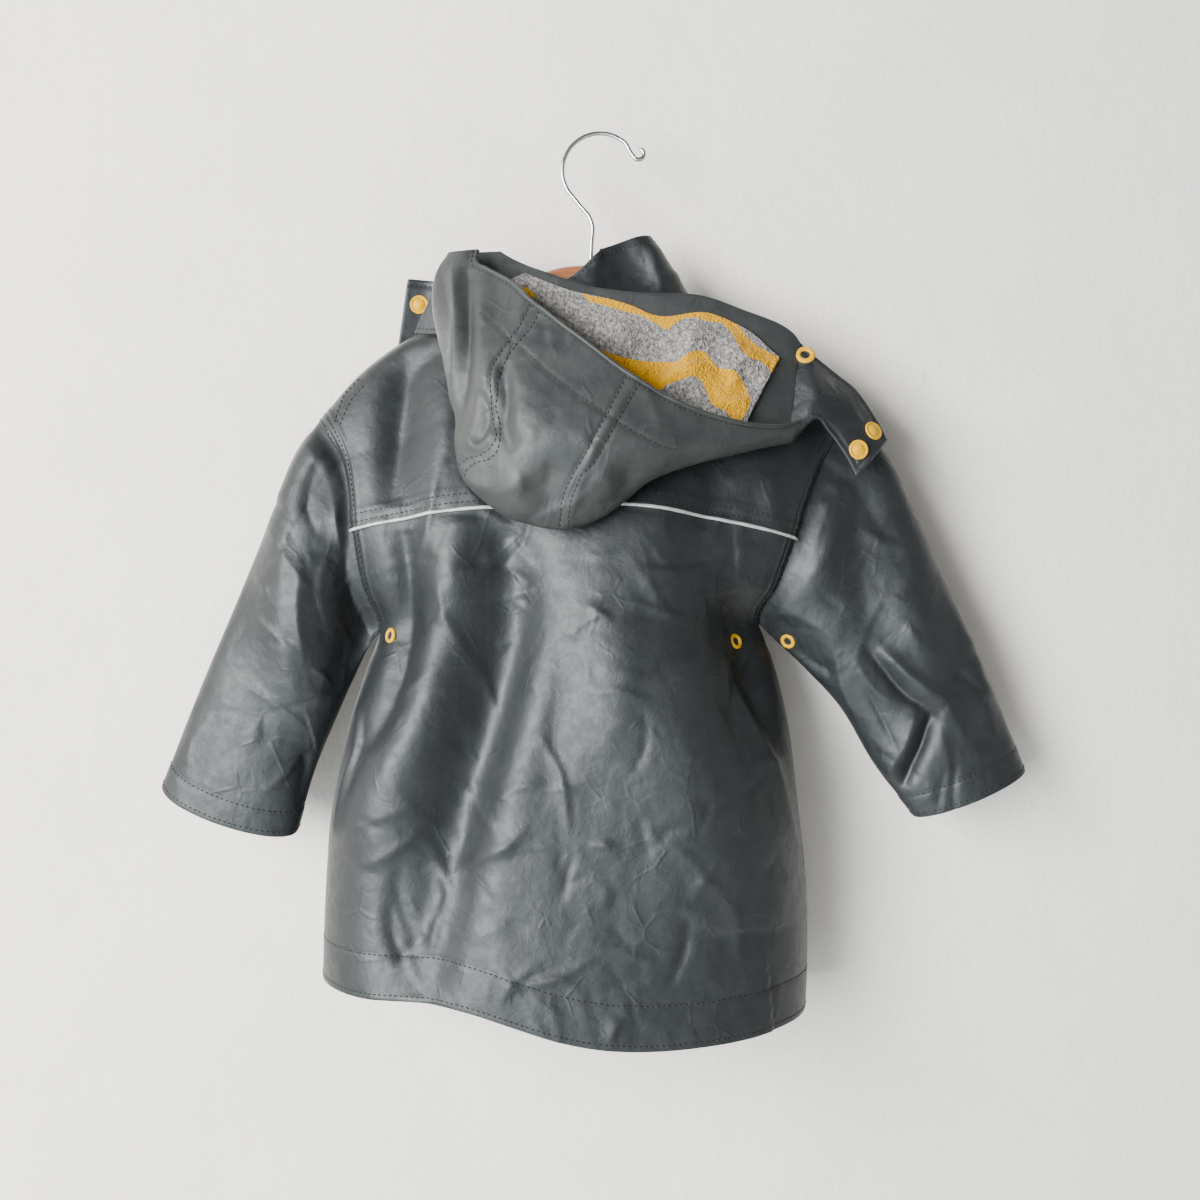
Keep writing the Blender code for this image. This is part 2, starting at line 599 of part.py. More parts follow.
def build_body(cloth):
    """Yoke, back panel and the two fronts, cut from the back and front surfaces."""
    wall(
        "back_yoke",
        BACK[: YOKE_ROW + 1],
        BACK_INWARD[: YOKE_ROW + 1],
        SHELL,
        cloth,
        ("top", "bottom", "left", "right"),
    )
    wall(
        "back_panel",
        BACK[YOKE_ROW:],
        BACK_INWARD[YOKE_ROW:],
        SHELL,
        cloth,
        ("top", "left", "right"),
    )
    under_last = MIDDLE_COLUMN + PLACKET_HALF + 1
    wall(
        "front_left",
        FRONT[:, :under_last],
        FRONT_INWARD[:, :under_last],
        SHELL,
        cloth,
        ("top", "left"),
    )
    over_first = MIDDLE_COLUMN - PLACKET_HALF
    over = FRONT[:, over_first:].copy()
    columns = np.arange(over.shape[1])
    lifted = 1.0 - smooth_step((columns - 2 * PLACKET_HALF - 1) / 3.0)
    over_inward = FRONT_INWARD[:, over_first:]
    over -= over_inward * ((SHELL + 2 * SEAM_GAP) * lifted)[:, None]
    wall("front_right", over, over_inward, SHELL, cloth, ("top", "right"))
    return over


def build_front_snaps(over, plastic):
    """The snap caps down the closed front, on the upper layer."""
    column = PLACKET_HALF
    middle = over[:, column]
    top = middle[0, 2] - FRONT_SNAP_BELOW_NECK
    heights = np.linspace(top, middle[-1, 2] + FRONT_SNAP_ABOVE_HEM, FRONT_SNAPS)
    order = np.argsort(middle[:, 2])
    for number, height in enumerate(heights):
        x = np.interp(height, middle[order, 2], middle[order, 0])
        y = np.interp(height, middle[order, 2], middle[order, 1])
        snap_cap(f"front_snap_{number + 1}", (x, y + 2 * SEAM_GAP, height), (0, 1, 0), plastic)


def sleeve_surface(sleeve):
    """Rings of the sleeve from the armhole to the cuff, and the first ring's wall direction."""
    column = 0 if sleeve.side < 0 else -1
    back = BACK[: ARMPIT_ROW + 1, column]
    front = FRONT[: ARMPIT_ROW + 1, column]
    tip = back[0]
    span = back[-1] - tip
    back_part = np.clip((back - tip) @ span / (span @ span), 0.0, 1.0)
    front_part = np.clip((front - tip) @ span / (span @ span), 0.0, 1.0)
    loop = np.concatenate([back, front[-2:0:-1]])
    part = np.concatenate([back_part, front_part[-2:0:-1]])
    face = np.concatenate([np.full(len(back), -1.0), np.full(len(front) - 2, 1.0)])
    full = np.sqrt(np.clip(1.0 - (1.0 - 2.0 * part) ** 2, 0.0, 1.0)) ** 0.9
    along = np.concatenate([[0.0, 0.035], np.linspace(0.1, 0.93, 10), [1.0]])
    outer = edge_line(sleeve.outer, along)
    inner = edge_line(sleeve.inner, along)
    back_depth = depth_line(sleeve.back_depth, along)
    front_depth = depth_line(sleeve.front_depth, along)
    depth = np.where(face[None, :] < 0, back_depth[:, None], front_depth[:, None])
    rings = outer[:, None] + (inner - outer)[:, None] * part[None, :, None]
    rings[..., 1] += face * full * depth
    low = smooth_step((along - 0.6) / 0.4)
    rings[..., 2] -= sleeve.cuff_drop * low[:, None] * full * (face < 0)
    bumps = relief(sleeve.folds, rings[..., 0], rings[..., 2])
    rings[..., 1] += face * full * bumps * smooth_step(along / 0.2)[:, None]
    fade = (1.0 - smooth_step(along / 0.55))[:, None, None]
    rings += (loop - rings[0])[None] * fade
    middle = rings.mean(axis=1, keepdims=True)
    inward = inward_normals(rings, 1.0, ring=True)
    if np.sum((middle - rings) * inward) < 0:
        inward = -inward
    inward[0] = unit(armhole_middle(sleeve.side) - rings[0])
    return rings, inward


def edge_line(table, along):
    """Points of a sleeve's edge, in the hanger's plane."""
    table = np.array(table)
    line = smooth_rows(table[:, 0], table[:, 1:], along)
    return np.stack([line[:, 0], 0.0 * along, line[:, 1]], axis=-1)


def depth_line(table, along):
    """A sleeve's depth along its length."""
    table = np.array(table)
    return smooth_rows(table[:, 0], table[:, 1:2], along)[:, 0]


def build_sleeves(cloth):
    """Both sleeves, each one tube from armhole to cuff."""
    surfaces = [sleeve_surface(sleeve) for sleeve in (SLEEVE_LEFT, SLEEVE_RIGHT)]
    for sleeve, (rings, inward) in zip((SLEEVE_LEFT, SLEEVE_RIGHT), surfaces):
        wall(sleeve.name, rings, inward, SHELL, cloth, ("top",), ring=True)
    return surfaces


# ---------------------------------------------------------------- collar and hood


def build_collar(cloth):
    """A stand collar round the neckline, open at the front."""
    front = FRONT[0, NECK_FIRST : NECK_LAST + 1]
    back = BACK[0, NECK_FIRST : NECK_LAST + 1]
    middle = NECK_COLUMNS // 2
    right = front[middle:][:-1]
    behind = back[::-1]
    left = front[1 : middle + 1]
    base = np.concatenate([right, behind, left])
    around = np.concatenate(
        [
            np.linspace(0.0, 1.0, len(right) + 1)[:-1],
            np.linspace(1.0, 3.0, len(behind)),
            np.linspace(3.0, 4.0, len(left) + 1)[1:],
        ]
    )
    base[0, 0] += COLLAR_OPENING
    base[-1, 0] -= COLLAR_OPENING
    table = np.array(COLLAR_POINTS)
    lean = smooth_rows(table[:, 0], table[:, 1:], around)
    up = np.array([0.0, 0.25, 0.5, 0.75, 1.0])[:, None, None]
    points = base[None] + up * lean[None]
    points[..., 2] += SEAM_GAP
    centre = np.array([COAT_MIDDLE_X, 4.0, 0.0])
    inward = inward_normals(points, 1.0)
    if np.sum((centre - points)[..., :2] * inward[..., :2]) < 0:
        inward = -inward
    inward[0, :, 2] = 0.0
    inward[0] = unit(inward[0])
    wall("collar", points, inward, DOUBLE, cloth)


def hood_points(cuts, parts):
    """Points of the hood's wall at the given cuts, from the face edge (0) to the neck edge (2)."""
    table = np.array(HOOD_CUTS, float)
    across = smooth_rows(np.arange(len(table)), table, cuts)
    return smooth_rows([0.0, 0.5, 1.0, 1.5, 2.0], np.moveaxis(across, 1, 0), parts)


HOOD_CUT_STEPS = np.linspace(0.0, len(HOOD_CUTS) - 1.0, 2 * (len(HOOD_CUTS) - 1) + 1)
HOOD_PART_STEPS = np.linspace(0.0, 2.0, 19)
LINING_COLUMNS = slice(5, 21)
LINING_ROWS = slice(5, 16)
HOOD = hood_points(HOOD_CUT_STEPS, HOOD_PART_STEPS)
HOOD_INWARD = inward_normals(HOOD, 1.0)


def build_hood(cloth, terry):
    """The hood's three panels, its lining, and the laps and flaps at its two ends."""
    left = 2 * SEAM_LEFT_CUT
    right = 2 * SEAM_RIGHT_CUT
    pieces = (
        ("hood_side_left", slice(0, left + 1), ("right",)),
        ("hood_centre", slice(left, right + 1), ("left", "right")),
        ("hood_side_right", slice(right, None), ("left",)),
    )
    for name, columns, edges in pieces:
        wall(name, HOOD[:, columns], HOOD_INWARD[:, columns], SHELL, cloth, edges)
    build_lining(terry)
    flap = build_flap(cloth)
    tab = build_strip("chin_tab_left", TAB_CUTS, DOUBLE, cloth)
    build_strip("hood_neck_lap", NECK_LAP_CUTS, SHELL, cloth)
    return flap, tab


def build_lining(terry):
    """The striped lining, laid inside the hood's walls on the same points."""
    cuts = HOOD_CUT_STEPS[LINING_COLUMNS]
    table = np.array(LINING_TOP)
    tops = smooth_rows(table[:, 0], table[:, 1:2], cuts)[:, 0]
    edge = [hood_points(np.array([cut]), np.array([top]))[0, 0] for cut, top in zip(cuts, tops)]
    last = HOOD_INWARD[LINING_ROWS.stop + 1, LINING_COLUMNS]
    hood = np.concatenate([HOOD[LINING_ROWS, LINING_COLUMNS], np.stack(edge)[None]])
    inward = np.concatenate([HOOD_INWARD[LINING_ROWS, LINING_COLUMNS], last[None]])
    wall("hood_lining", hood + inward * (SHELL + 2 * SEAM_GAP), inward, TERRY, terry)


def build_flap(cloth):
    """The right chin flap, from the hood's last cut over the shoulder."""
    parts = np.linspace(0.0, 1.0, 7)
    first = hood_points(np.array([len(HOOD_CUTS) - 1.0]), 1.0 + parts)[:, 0]
    cuts = [first]
    for cut in FLAP_CUTS:
        face = np.array(cut.face, float)
        neck = np.array(cut.neck, float)
        line = face + (neck - face) * parts[:, None]
        line[:, 1] -= FLAP_BOW * np.sin(math.pi * parts)
        cuts.append(line)
    stations = np.arange(len(cuts))
    points = smooth_rows(stations, np.stack(cuts), np.linspace(0.0, stations[-1], 11))
    points = np.swapaxes(points, 0, 1)
    inward = inward_normals(points, -1.0)
    if inward[..., 1].mean() < 0:
        inward = -inward
    move = unit(points[:, 1] - points[:, 0])
    points[:, 0] += 2.5 * SEAM_GAP * move
    wall("chin_flap_right", points - 0.5 * inward, inward, DOUBLE, cloth)
    return points, inward


def build_strip(name, cuts, thickness, cloth):
    """A small piece between a top and a bottom edge given in a few cuts."""
    table = np.array(cuts, float)
    lines = smooth_rows(np.arange(len(table)), table, np.linspace(0.0, len(table) - 1.0, 9))
    down = np.linspace(0.0, 1.0, 6)[:, None, None]
    points = lines[:, 0][None] + (lines[:, 1] - lines[:, 0])[None] * down
    inward = inward_normals(points, 1.0)
    if inward[..., 1].mean() < 0:
        inward = -inward
    wall(name, points, inward, thickness, cloth)
    return points, inward


# ---------------------------------------------------------------- trim


def seat(points, outward, place, reach):
    """Where a small round piece stands on a wall: its foot and its axis.

    `place` is moved until it lies on the wall: along Y, or square to the wall where that
    is steep. The foot is then lifted clear of every wall point within `reach`, so that
    the piece rests on the highest of them.
    """
    flat = points.reshape(-1, 3)
    normals = outward.reshape(-1, 3)
    foot = np.array(place, float)
    for _ in range(SEAT_STEPS):
        away = np.linalg.norm(flat - foot, axis=1)
        near = np.argsort(away)[:4]
        weight = 1.0 / (away[near] + 0.5)
        axis = unit(weight @ normals[near] / weight.sum())
        anchor = weight @ flat[near] / weight.sum()
        gap = (anchor - foot) @ axis
        if abs(axis[1]) > STEEP:
            foot[1] += gap / axis[1]
        else:
            foot += gap * axis
    close = np.linalg.norm(flat - foot, axis=1) < reach
    lift = max(((flat[close] - foot) @ axis).max(initial=0.0), 0.0)
    return foot + axis * (lift + SEAM_GAP), axis


def snap_cap(name, centre, axis, plastic):
    """A domed snap cap standing on `centre`."""
    radius = SNAP_DIAMETER / 2
    profile = [
        (radius - 0.5, 0.0),
        (radius, 0.6),
        (radius - 0.5, 1.6),
        (radius * 0.6, SNAP_HEIGHT),
    ]
    turned(name, profile, centre, axis, plastic, sides=14)


def ring_piece(name, outer, hole, height, centre, axis, material):
    """A flat ring with rounded edges: an eyelet, or a ring snap."""
    inside = hole / 2
    outside = outer / 2
    rim = 0.35 * height
    profile = [
        (inside, 0.0),
        (outside, 0.0),
        (outside - rim, height),
        (inside, height - rim),
    ]
    turned(name, profile, centre, axis, material, sides=14, ring=True)


def build_piping(silver):
    """The reflective piping just under the yoke seam, from armhole to armhole."""
    level = YOKE_ROW
    line = BACK[level, 1:-1] * (1 - PIPING_DOWN) + BACK[level + 1, 1:-1] * PIPING_DOWN
    outward = -BACK_INWARD[level, 1:-1]
    path = line + outward * (PIPING_DIAMETER / 2 + 1.5 * SEAM_GAP)
    tube("piping", path, PIPING_DIAMETER / 2, 6, silver)


def main():
    """Clears the scene and builds every piece."""
    for obj in list(bpy.data.objects):
        bpy.data.objects.remove(obj, do_unlink=True)
    cloth = principled("coated_cloth", (0.045, 0.052, 0.055), 0.42)
    terry = principled("terry_lining", (0.55, 0.42, 0.16), 0.95)
    plastic = principled("yellow_plastic", (0.85, 0.55, 0.03), 0.35)
    silver = principled("reflective_piping", (0.55, 0.56, 0.57), 0.4)
    wood = principled("hanger_wood", (0.42, 0.2, 0.1), 0.5)
    chrome = principled("hook_wire", (0.75, 0.75, 0.76), 0.2, 1.0)
    over = build_body(cloth)
    build_front_snaps(over, plastic)
    sleeves = build_sleeves(cloth)
    build_collar(cloth)
    flap, tab = build_hood(cloth, terry)
    build_piping(silver)
    build_trim(sleeves, flap, tab, plastic)
    build_hanger(wood, chrome)


def build_trim(sleeves, flap, tab, plastic):
    """Snap caps on the hood's two ends, and the eyelets that air the armpits."""
    reach = SNAP_DIAMETER
    points, inward = tab
    foot, axis = seat(points, -inward, LEFT_TAB_SNAP, reach)
    snap_cap("hood_snap_left", foot, axis, plastic)
    points, inward = flap
    face = points - 0.5 * inward
    for number, place in enumerate(FLAP_SNAPS):
        foot, axis = seat(face, -inward, place, reach)
        snap_cap(f"hood_snap_right_{number + 1}", foot, axis, plastic)
    both = np.concatenate([face.reshape(-1, 3), (HOOD + HOOD_INWARD * SHELL).reshape(-1, 3)])
    both_outward = np.concatenate([-inward.reshape(-1, 3), HOOD_INWARD.reshape(-1, 3)])
    foot, axis = seat(both, both_outward, RING_SNAP, reach)
    ring_piece("hood_ring_snap", SNAP_DIAMETER, RING_SNAP_HOLE, EYELET_HEIGHT, foot, axis, plastic)
    eyelets = [
        ("eyelet_body_left", BACK, BACK_INWARD, BODY_EYELETS[0]),
        ("eyelet_body_right", BACK, BACK_INWARD, BODY_EYELETS[1]),
        ("eyelet_sleeve_left", *sleeves[0], SLEEVE_EYELETS[0]),
        ("eyelet_sleeve_right", *sleeves[1], SLEEVE_EYELETS[1]),
    ]
    for name, points, inward, place in eyelets:
        foot, axis = seat(points, -inward, place, EYELET_OUTER)
        foot = foot + axis * SEAM_GAP
        ring_piece(name, EYELET_OUTER, EYELET_HOLE, EYELET_HEIGHT, foot, axis, plastic)


def build_hanger(wood, chrome):
    """The wooden bar and its wire hook."""
    table = np.array(BAR_CUTS)
    outs = np.concatenate([-table[:0:-1, 0], table[:, 0]])
    shape = np.concatenate([table[:0:-1, 1:], table[:, 1:]])
    at = np.concatenate([[outs[0]], np.linspace(outs[0] + 6.0, outs[-1] - 6.0, 19), [outs[-1]]])
    cut = smooth_rows(outs, shape, at)
    turn = np.arange(10) * 2 * math.pi / 10
    rings = np.empty((len(at), 10, 3))
    rings[..., 0] = (HANGER_MIDDLE_X + at)[:, None]
    rings[..., 1] = cut[:, 2:3] / 2 * np.cos(turn)
    rings[..., 2] = (cut[:, 0:1] - cut[:, 1:2] / 2) + cut[:, 1:2] / 2 * np.sin(turn)
    lofted("hanger_bar", rings, wood)
    angles = np.radians(np.linspace(HOOK_FROM_DEG, HOOK_TO_DEG, 18))
    centre_z = -(HOOK_RADIUS - WIRE_DIAMETER / 2)
    arc = [(HOOK_RADIUS * math.cos(a), centre_z + HOOK_RADIUS * math.sin(a)) for a in angles]
    flat = np.array(HOOK_STEM + arc + HOOK_EYE)
    steps = np.concatenate([[0.0], np.cumsum(np.linalg.norm(np.diff(flat, axis=0), axis=1))])
    line = smooth_rows(steps, flat, np.linspace(0.0, steps[-1], 48))
    path = np.stack([line[:, 0], 0 * line[:, 0], line[:, 1]], axis=-1)
    tube("hanger_hook", path, WIRE_DIAMETER / 2, 8, chrome)


main()
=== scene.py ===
"""The looks of a child's hooded raincoat that hangs, back to the viewer, on a wooden hanger.

Lengths are in millimetres until a mesh is made, which turns them into metres. +Z is up, the
coat's back faces -Y, and the origin is the top of the hanger's hook, inside the wire. Each
piece of cloth is a thin closed wall on the form of its solid: its creases are listed as soft
troughs and ridges, and every stitch is a piece of thread.
"""

import logging
import math
from dataclasses import dataclass, field
from enum import Enum
from typing import Any, Iterable, NamedTuple, Sequence

import bpy
import numpy as np
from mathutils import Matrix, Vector

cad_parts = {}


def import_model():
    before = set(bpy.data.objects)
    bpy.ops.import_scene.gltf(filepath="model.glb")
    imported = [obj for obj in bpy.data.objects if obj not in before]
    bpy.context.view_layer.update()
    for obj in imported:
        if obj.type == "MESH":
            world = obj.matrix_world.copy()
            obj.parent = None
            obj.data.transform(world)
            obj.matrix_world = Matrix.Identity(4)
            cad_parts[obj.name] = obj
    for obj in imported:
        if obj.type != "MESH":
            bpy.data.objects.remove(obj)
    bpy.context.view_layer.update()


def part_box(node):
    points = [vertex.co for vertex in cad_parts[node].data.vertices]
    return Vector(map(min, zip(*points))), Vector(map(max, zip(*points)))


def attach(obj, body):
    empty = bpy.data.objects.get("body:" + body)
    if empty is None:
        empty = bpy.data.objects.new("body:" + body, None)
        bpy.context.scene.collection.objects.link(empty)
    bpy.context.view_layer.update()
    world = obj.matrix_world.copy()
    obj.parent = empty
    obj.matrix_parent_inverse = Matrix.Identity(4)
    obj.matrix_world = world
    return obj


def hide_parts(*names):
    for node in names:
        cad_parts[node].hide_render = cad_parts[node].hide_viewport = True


logging.basicConfig(level=logging.INFO, format="%(message)s")
log = logging.getLogger("raincoat")

Array = np.ndarray
Pair = tuple[float, float]
Point = tuple[float, float, float]
Line = Sequence[Pair]
Path = tuple[Array, Array]  # points on the cloth, and the outward direction at each

MM = 0.001

# ---------------------------------------------------------------- driving sizes, mm

SHELL = 1.6  # the coat's solids; the cloth itself is drawn thinner
CLOTH = 1.1  # wall of the coated cloth
DOUBLE = 2.2  # two layers sewn flat
TERRY = 1.6
SEAM_GAP = 0.3
EYE_DISTANCE = 850.0  # from the hanger's plane to the eye
EYE_HEIGHT = -301.8
LENS = 39.23  # on a sensor 36 mm wide
WALL_BEHIND = 47.0  # how far behind the hanger's plane the room's wall stands

ARMPIT_DOWN = 145.0  # length of the side line from the shoulder's end to the armpit
YOKE_DOWN = 72.0
HEM_DOWN = 372.0
COAT_MIDDLE_X = -11.0
BACK_NECK_DROP = 14.0
BACK_NECK_DEPTH = 23.0
FRONT_NECK_DROP = 46.0
FRONT_NECK_DEPTH = 33.0
SHOULDER_ROUND = 6.5
SHOULDER_ROUND_DOWN = 32.0
HEM_LIFT_X = -88.0
HEM_LIFT_HALF_WIDTH = 64.0
HEM_LIFT = 17.0
HEM_LIFT_FROM_DOWN = 290.0
PLACKET_ANGLE = 0.138  # half the width of the double stretch down the front, in radians
HOOK_RADIUS = 24.4
WIRE_DIAMETER = 3.0

# ---------------------------------------------------------------- tables

# The shoulder line: distance out from the neck's middle, and height.
SHOULDER_LINE = ((69, -104), (84, -113.5), (100, -124.5), (120, -136), (149, -159), (171, -185))
NECK_HALF = SHOULDER_LINE[0][0]
SHOULDER_HALF = SHOULDER_LINE[-1][0]
NECK_ANGLE = math.asin(NECK_HALF / SHOULDER_HALF)


class Row(NamedTuple):
    """A cross row of the body: its length down the side line, both ends, its middle and fullness."""

    down: float
    left_x: float
    left_y: float
    left_z: float
    right_x: float
    right_y: float
    right_z: float
    mid_y: float
    mid_z: float
    flat: float


BACK_ROWS = (
    Row(32, -164, -15, -213, 141, -15, -214, -38, -181, 1.0),
    Row(72, -156, -24, -257, 123, -24, -262, -51, -243, 1.0),
    Row(108, -151, -17, -291, 113, -17, -292, -56, -282, 1.2),
    Row(145, -143, 0, -322, 103, 0, -317, -60, -318, 1.3),
    Row(168, -151, 2, -345, 112, 2, -340, -63, -343, 1.15),
    Row(200, -161, 3, -377, 120.5, 3, -373, -67, -378, 0.95),
    Row(255, -172, 3, -431, 127.5, 3, -432, -72, -436, 0.85),
    Row(315, -177, 3, -492, 133.5, 3, -500, -77, -503, 0.8),
    Row(372, -178.5, 3, -543, 132.5, 3, -561, -82, -567.5, 0.8),
)
# From the armpits down the front shares the side seams: its own middle (y, z) and fullness.
FRONT_MIDDLES = (
    (35, -320, 0.7), (35, -343, 0.65), (35.5, -377, 0.6), (36, -434, 0.55), (36, -498, 0.5),
    (36, -559, 0.5),
)
FRONT_ROWS = (
    Row(32, -161, 13, -213, 138, 13, -214, 33, -192, 0.7),
    Row(72, -149, 21, -256, 116, 21, -261, 34, -246, 0.7),
    Row(108, -145, 15, -291, 107, 15, -292, 35, -284, 0.7),
    *(row._replace(mid_y=y, mid_z=z, flat=flat) for row, (y, z, flat) in zip(BACK_ROWS[3:], FRONT_MIDDLES)),
)

# A sleeve's edges: how far down the sleeve each point is, its x and its z.
LEFT_OUTER_EDGE = (
    (0, -182, -185), (0.12, -195, -203), (0.35, -213, -248), (0.6, -237, -306), (0.8, -260, -360),
    (1, -284, -421),
)
LEFT_INNER_EDGE = (
    (0, -143, -322), (0.12, -150, -332), (0.35, -160, -352), (0.6, -174, -384), (0.8, -186, -414),
    (1, -196, -450),
)
RIGHT_OUTER_EDGE = (
    (0, 160, -185), (0.12, 181, -200), (0.35, 207, -252), (0.6, 232, -308), (0.8, 253.5, -356),
    (1, 275.5, -411),
)
RIGHT_INNER_EDGE = (
    (0, 103, -317), (0.12, 113, -327), (0.35, 133, -346), (0.6, 158, -374), (0.8, 178, -408),
    (1, 203, -441),
)

# Cuts across the hood: its face edge, outer wall, bottom fold, inner wall and neck edge.
HOOD_CUTS = (
    ((-76, -38, -84), (-86, -38, -85), (-95, -30, -84), (-80, -24, -83), (-63, -23, -82)),
    ((-77, -43, -93), (-91, -45, -107), (-103, -32, -98), (-80, -27, -92), (-55, -24, -87)),
    ((-69, -49, -99), (-89, -55, -127), (-104, -38, -118), (-78, -31, -107), (-45, -26, -92)),
    ((-55, -57, -108), (-79, -66, -145), (-98, -46, -146), (-68, -36, -124), (-35, -28, -96)),
    ((-48, -63, -115), (-72, -76, -162), (-88, -58, -185), (-56, -42, -144), (-22, -30, -101)),
    ((-41, -69, -123), (-63, -85, -180), (-84, -68, -221), (-46, -48, -163), (-6, -31, -106)),
    ((-13, -80, -146), (-37, -99, -209), (-62, -73, -247), (-20, -54, -180), (25, -31, -110)),
    ((16, -87, -169), (-6, -99, -214), (-24, -74, -260), (18, -54, -188), (62, -29, -111)),
    ((47, -83, -186), (24, -93, -217), (9, -72, -249), (48, -51, -184), (91, -26, -120)),
    ((82, -72, -196), (54, -80, -214), (38, -68, -226), (74, -46, -175), (111, -24, -127)),
    ((108, -60, -197), (90, -66, -208), (80, -57, -212), (100, -40, -171), (121, -23, -133)),
    ((124, -52, -192), (119, -56, -199), (117, -45, -204), (121, -33, -171), (126, -22, -139)),
)
LAST_CUT = len(HOOD_CUTS) - 1
SEAM_LEFT_CUT = 5
SEAM_RIGHT_CUT = 7
# The lining's upper edge: the hood's cut, and how far from face edge (0) to neck edge (2).
LINING_TOP = ((2.5, 1.9), (4, 1.93), (6, 1.93), (6.6, 1.89), (7.3, 1.93), (8, 1.92), (10, 1.76))
# The hood's ends, each by the two ends of a few lines across it.
FLAP_CUTS = (
    ((133, -43, -189), (134, -24, -147)),
    ((142, -40, -197), (150, -24, -160)),
    ((149, -39, -206), (162, -24, -170)),
    ((155, -38, -215), (174, -25, -188)),
    ((159.5, -37, -224), (180, -28, -201)),
)
TAB_CUTS = (
    ((-126, 12, -91), (-133, 12, -141)),
    ((-113, 13, -92), (-119, 14, -137)),
    ((-103, 9, -94), (-106, 12, -124)),
    ((-97, -1, -95), (-99, 0, -113)),
    ((-96, -11, -96), (-98, -11, -112)),
)
NECK_LAP_CUTS = (
    ((-106, -15, -103), (-119, -10, -130)),
    ((-98, -20, -99), (-108, -17, -132)),
    ((-90, -24, -98), (-97, -24, -133)),
    ((-82, -28, -99), (-84, -29, -133)),
)

# Round the neck from the front's right edge (0 to 4): the collar's lean in x and y, and its rise.
COLLAR_POINTS = (
    (0, 0, -2, 34), (0.5, -8, -6, 37), (1, -24, -3, 38), (1.4, -21, 4, 38), (1.7, -7, 6, 39),
    (2, 9, 4, 36), (2.3, 10, 3, 18), (2.7, 6, 4, 10), (3, 6, 0, 11), (3.5, 8, -5, 26), (4, 0, -4, 34),
)

HANGER_MIDDLE_X = -6.0
# Cuts of the hanger's bar: distance out from the hook, top edge, height and thickness.
BAR_CUTS = (
    (0, -84.5, 24, 12), (22, -86.5, 23, 12), (45, -96.5, 21, 12), (68, -113, 19, 11),
    (95, -131, 18, 11), (120, -147, 16, 10.5), (142, -164, 14, 9.5), (150, -172, 9, 6),
)
# The hook's wire below and beyond its arc (x, z).
HOOK_STEM = ((-6.0, -83.8), (-5.4, -70.0), (-5.0, -58.0), (-6.6, -53.5), (-13.0, -45.5))
HOOK_EYE = ((20.4, -11.6), (24.0, -15.4), (27.6, -14.6), (28.6, -11.2), (25.8, -8.0))
HOOK_FROM_DEG = 224.0
HOOK_TO_DEG = 48.0

# ---------------------------------------------------------------- curves and grids


def smooth_rows(knots: Iterable[float], rows: Any, at: Any) -> Array:
    """A smooth curve through rows of numbers, read at chosen places.

    Between two knots each number follows a cubic that leaves and arrives with the slope
    between its neighbours.

    Args:
        knots: The place of each row.
        rows: The rows of numbers.
        at: The places to read.

    Returns:
        One row for each place.
    """
    knots = np.asarray(knots, float)
    rows = np.asarray(rows, float)
    at = np.asarray(at, float)
    steps = np.diff(knots).reshape((-1,) + (1,) * (rows.ndim - 1))
    rises = np.diff(rows, axis=0) / steps
    slopes = np.empty_like(rows)
    slopes[0] = rises[0]
    slopes[-1] = rises[-1]
    slopes[1:-1] = (rises[:-1] * steps[1:] + rises[1:] * steps[:-1]) / (steps[:-1] + steps[1:])
    place = np.clip(np.searchsorted(knots, at, side="right") - 1, 0, len(knots) - 2)
    width = (knots[place + 1] - knots[place]).reshape(at.shape + (1,) * (rows.ndim - 1))
    part = (at - knots[place]).reshape(width.shape) / width
    start = (1 + 2 * part) * (1 - part) ** 2
    end = part**2 * (3 - 2 * part)
    leave = part * (1 - part) ** 2 * width
    arrive = part**2 * (part - 1) * width
    ends = start * rows[place] + end * rows[place + 1]
    return ends + leave * slopes[place] + arrive * slopes[place + 1]


def unit(vectors: Array) -> Array:
    """Vectors of length 1 along the last axis."""
    return vectors / np.maximum(np.linalg.norm(vectors, axis=-1, keepdims=True), 1e-9)


def smooth_step(value: Any) -> Array:
    """0 below 0, 1 above 1, and a smooth rise between."""
    value = np.clip(value, 0.0, 1.0)
    return value * value * (3.0 - 2.0 * value)


def bell(value: Any, half_width: float) -> Array:
    """1 in the middle, falling off on both sides as exp(-(value / half_width)^2)."""
    return np.exp(-((value / half_width) ** 2))


def inward_normals(points: Array, toward: float, ring: bool = False) -> Array:
    """Directions square to a grid of points, on the side of `toward` (a sign).

    Args:
        points: The grid.
        toward: 1 or -1, for the side.
        ring: Whether the columns go round.

    Returns:
        One direction for each point.
    """
    if ring:
        around = np.roll(points, -1, axis=1) - np.roll(points, 1, axis=1)
    else:
        around = np.gradient(points, axis=1)
    return toward * unit(np.cross(around, np.gradient(points, axis=0)))


def lengths_along(points: Array) -> Array:
    """How far each point of a line is from its first, along the line."""
    return np.concatenate([[0.0], np.cumsum(np.linalg.norm(np.diff(points, axis=0), axis=1))])


def curve_through(line: Line, spacing: float = 3.0) -> Array:
    """A smooth curve through a few points.

    Args:
        line: The points.
        spacing: About how far apart the curve's own points are.

    Returns:
        The curve's points.
    """
    corners = np.asarray(line, float)
    passed = lengths_along(corners)
    count = max(int(passed[-1] / spacing), 4)
    return smooth_rows(passed, corners, np.linspace(0.0, passed[-1], count + 1))


def seen(points: Array) -> tuple[Array, Array]:
    """Where the eye sees points against the hanger's plane: their x and z there."""
    nearer = EYE_DISTANCE / (EYE_DISTANCE + points[..., 1])
    return points[..., 0] * nearer, EYE_HEIGHT + (points[..., 2] - EYE_HEIGHT) * nearer


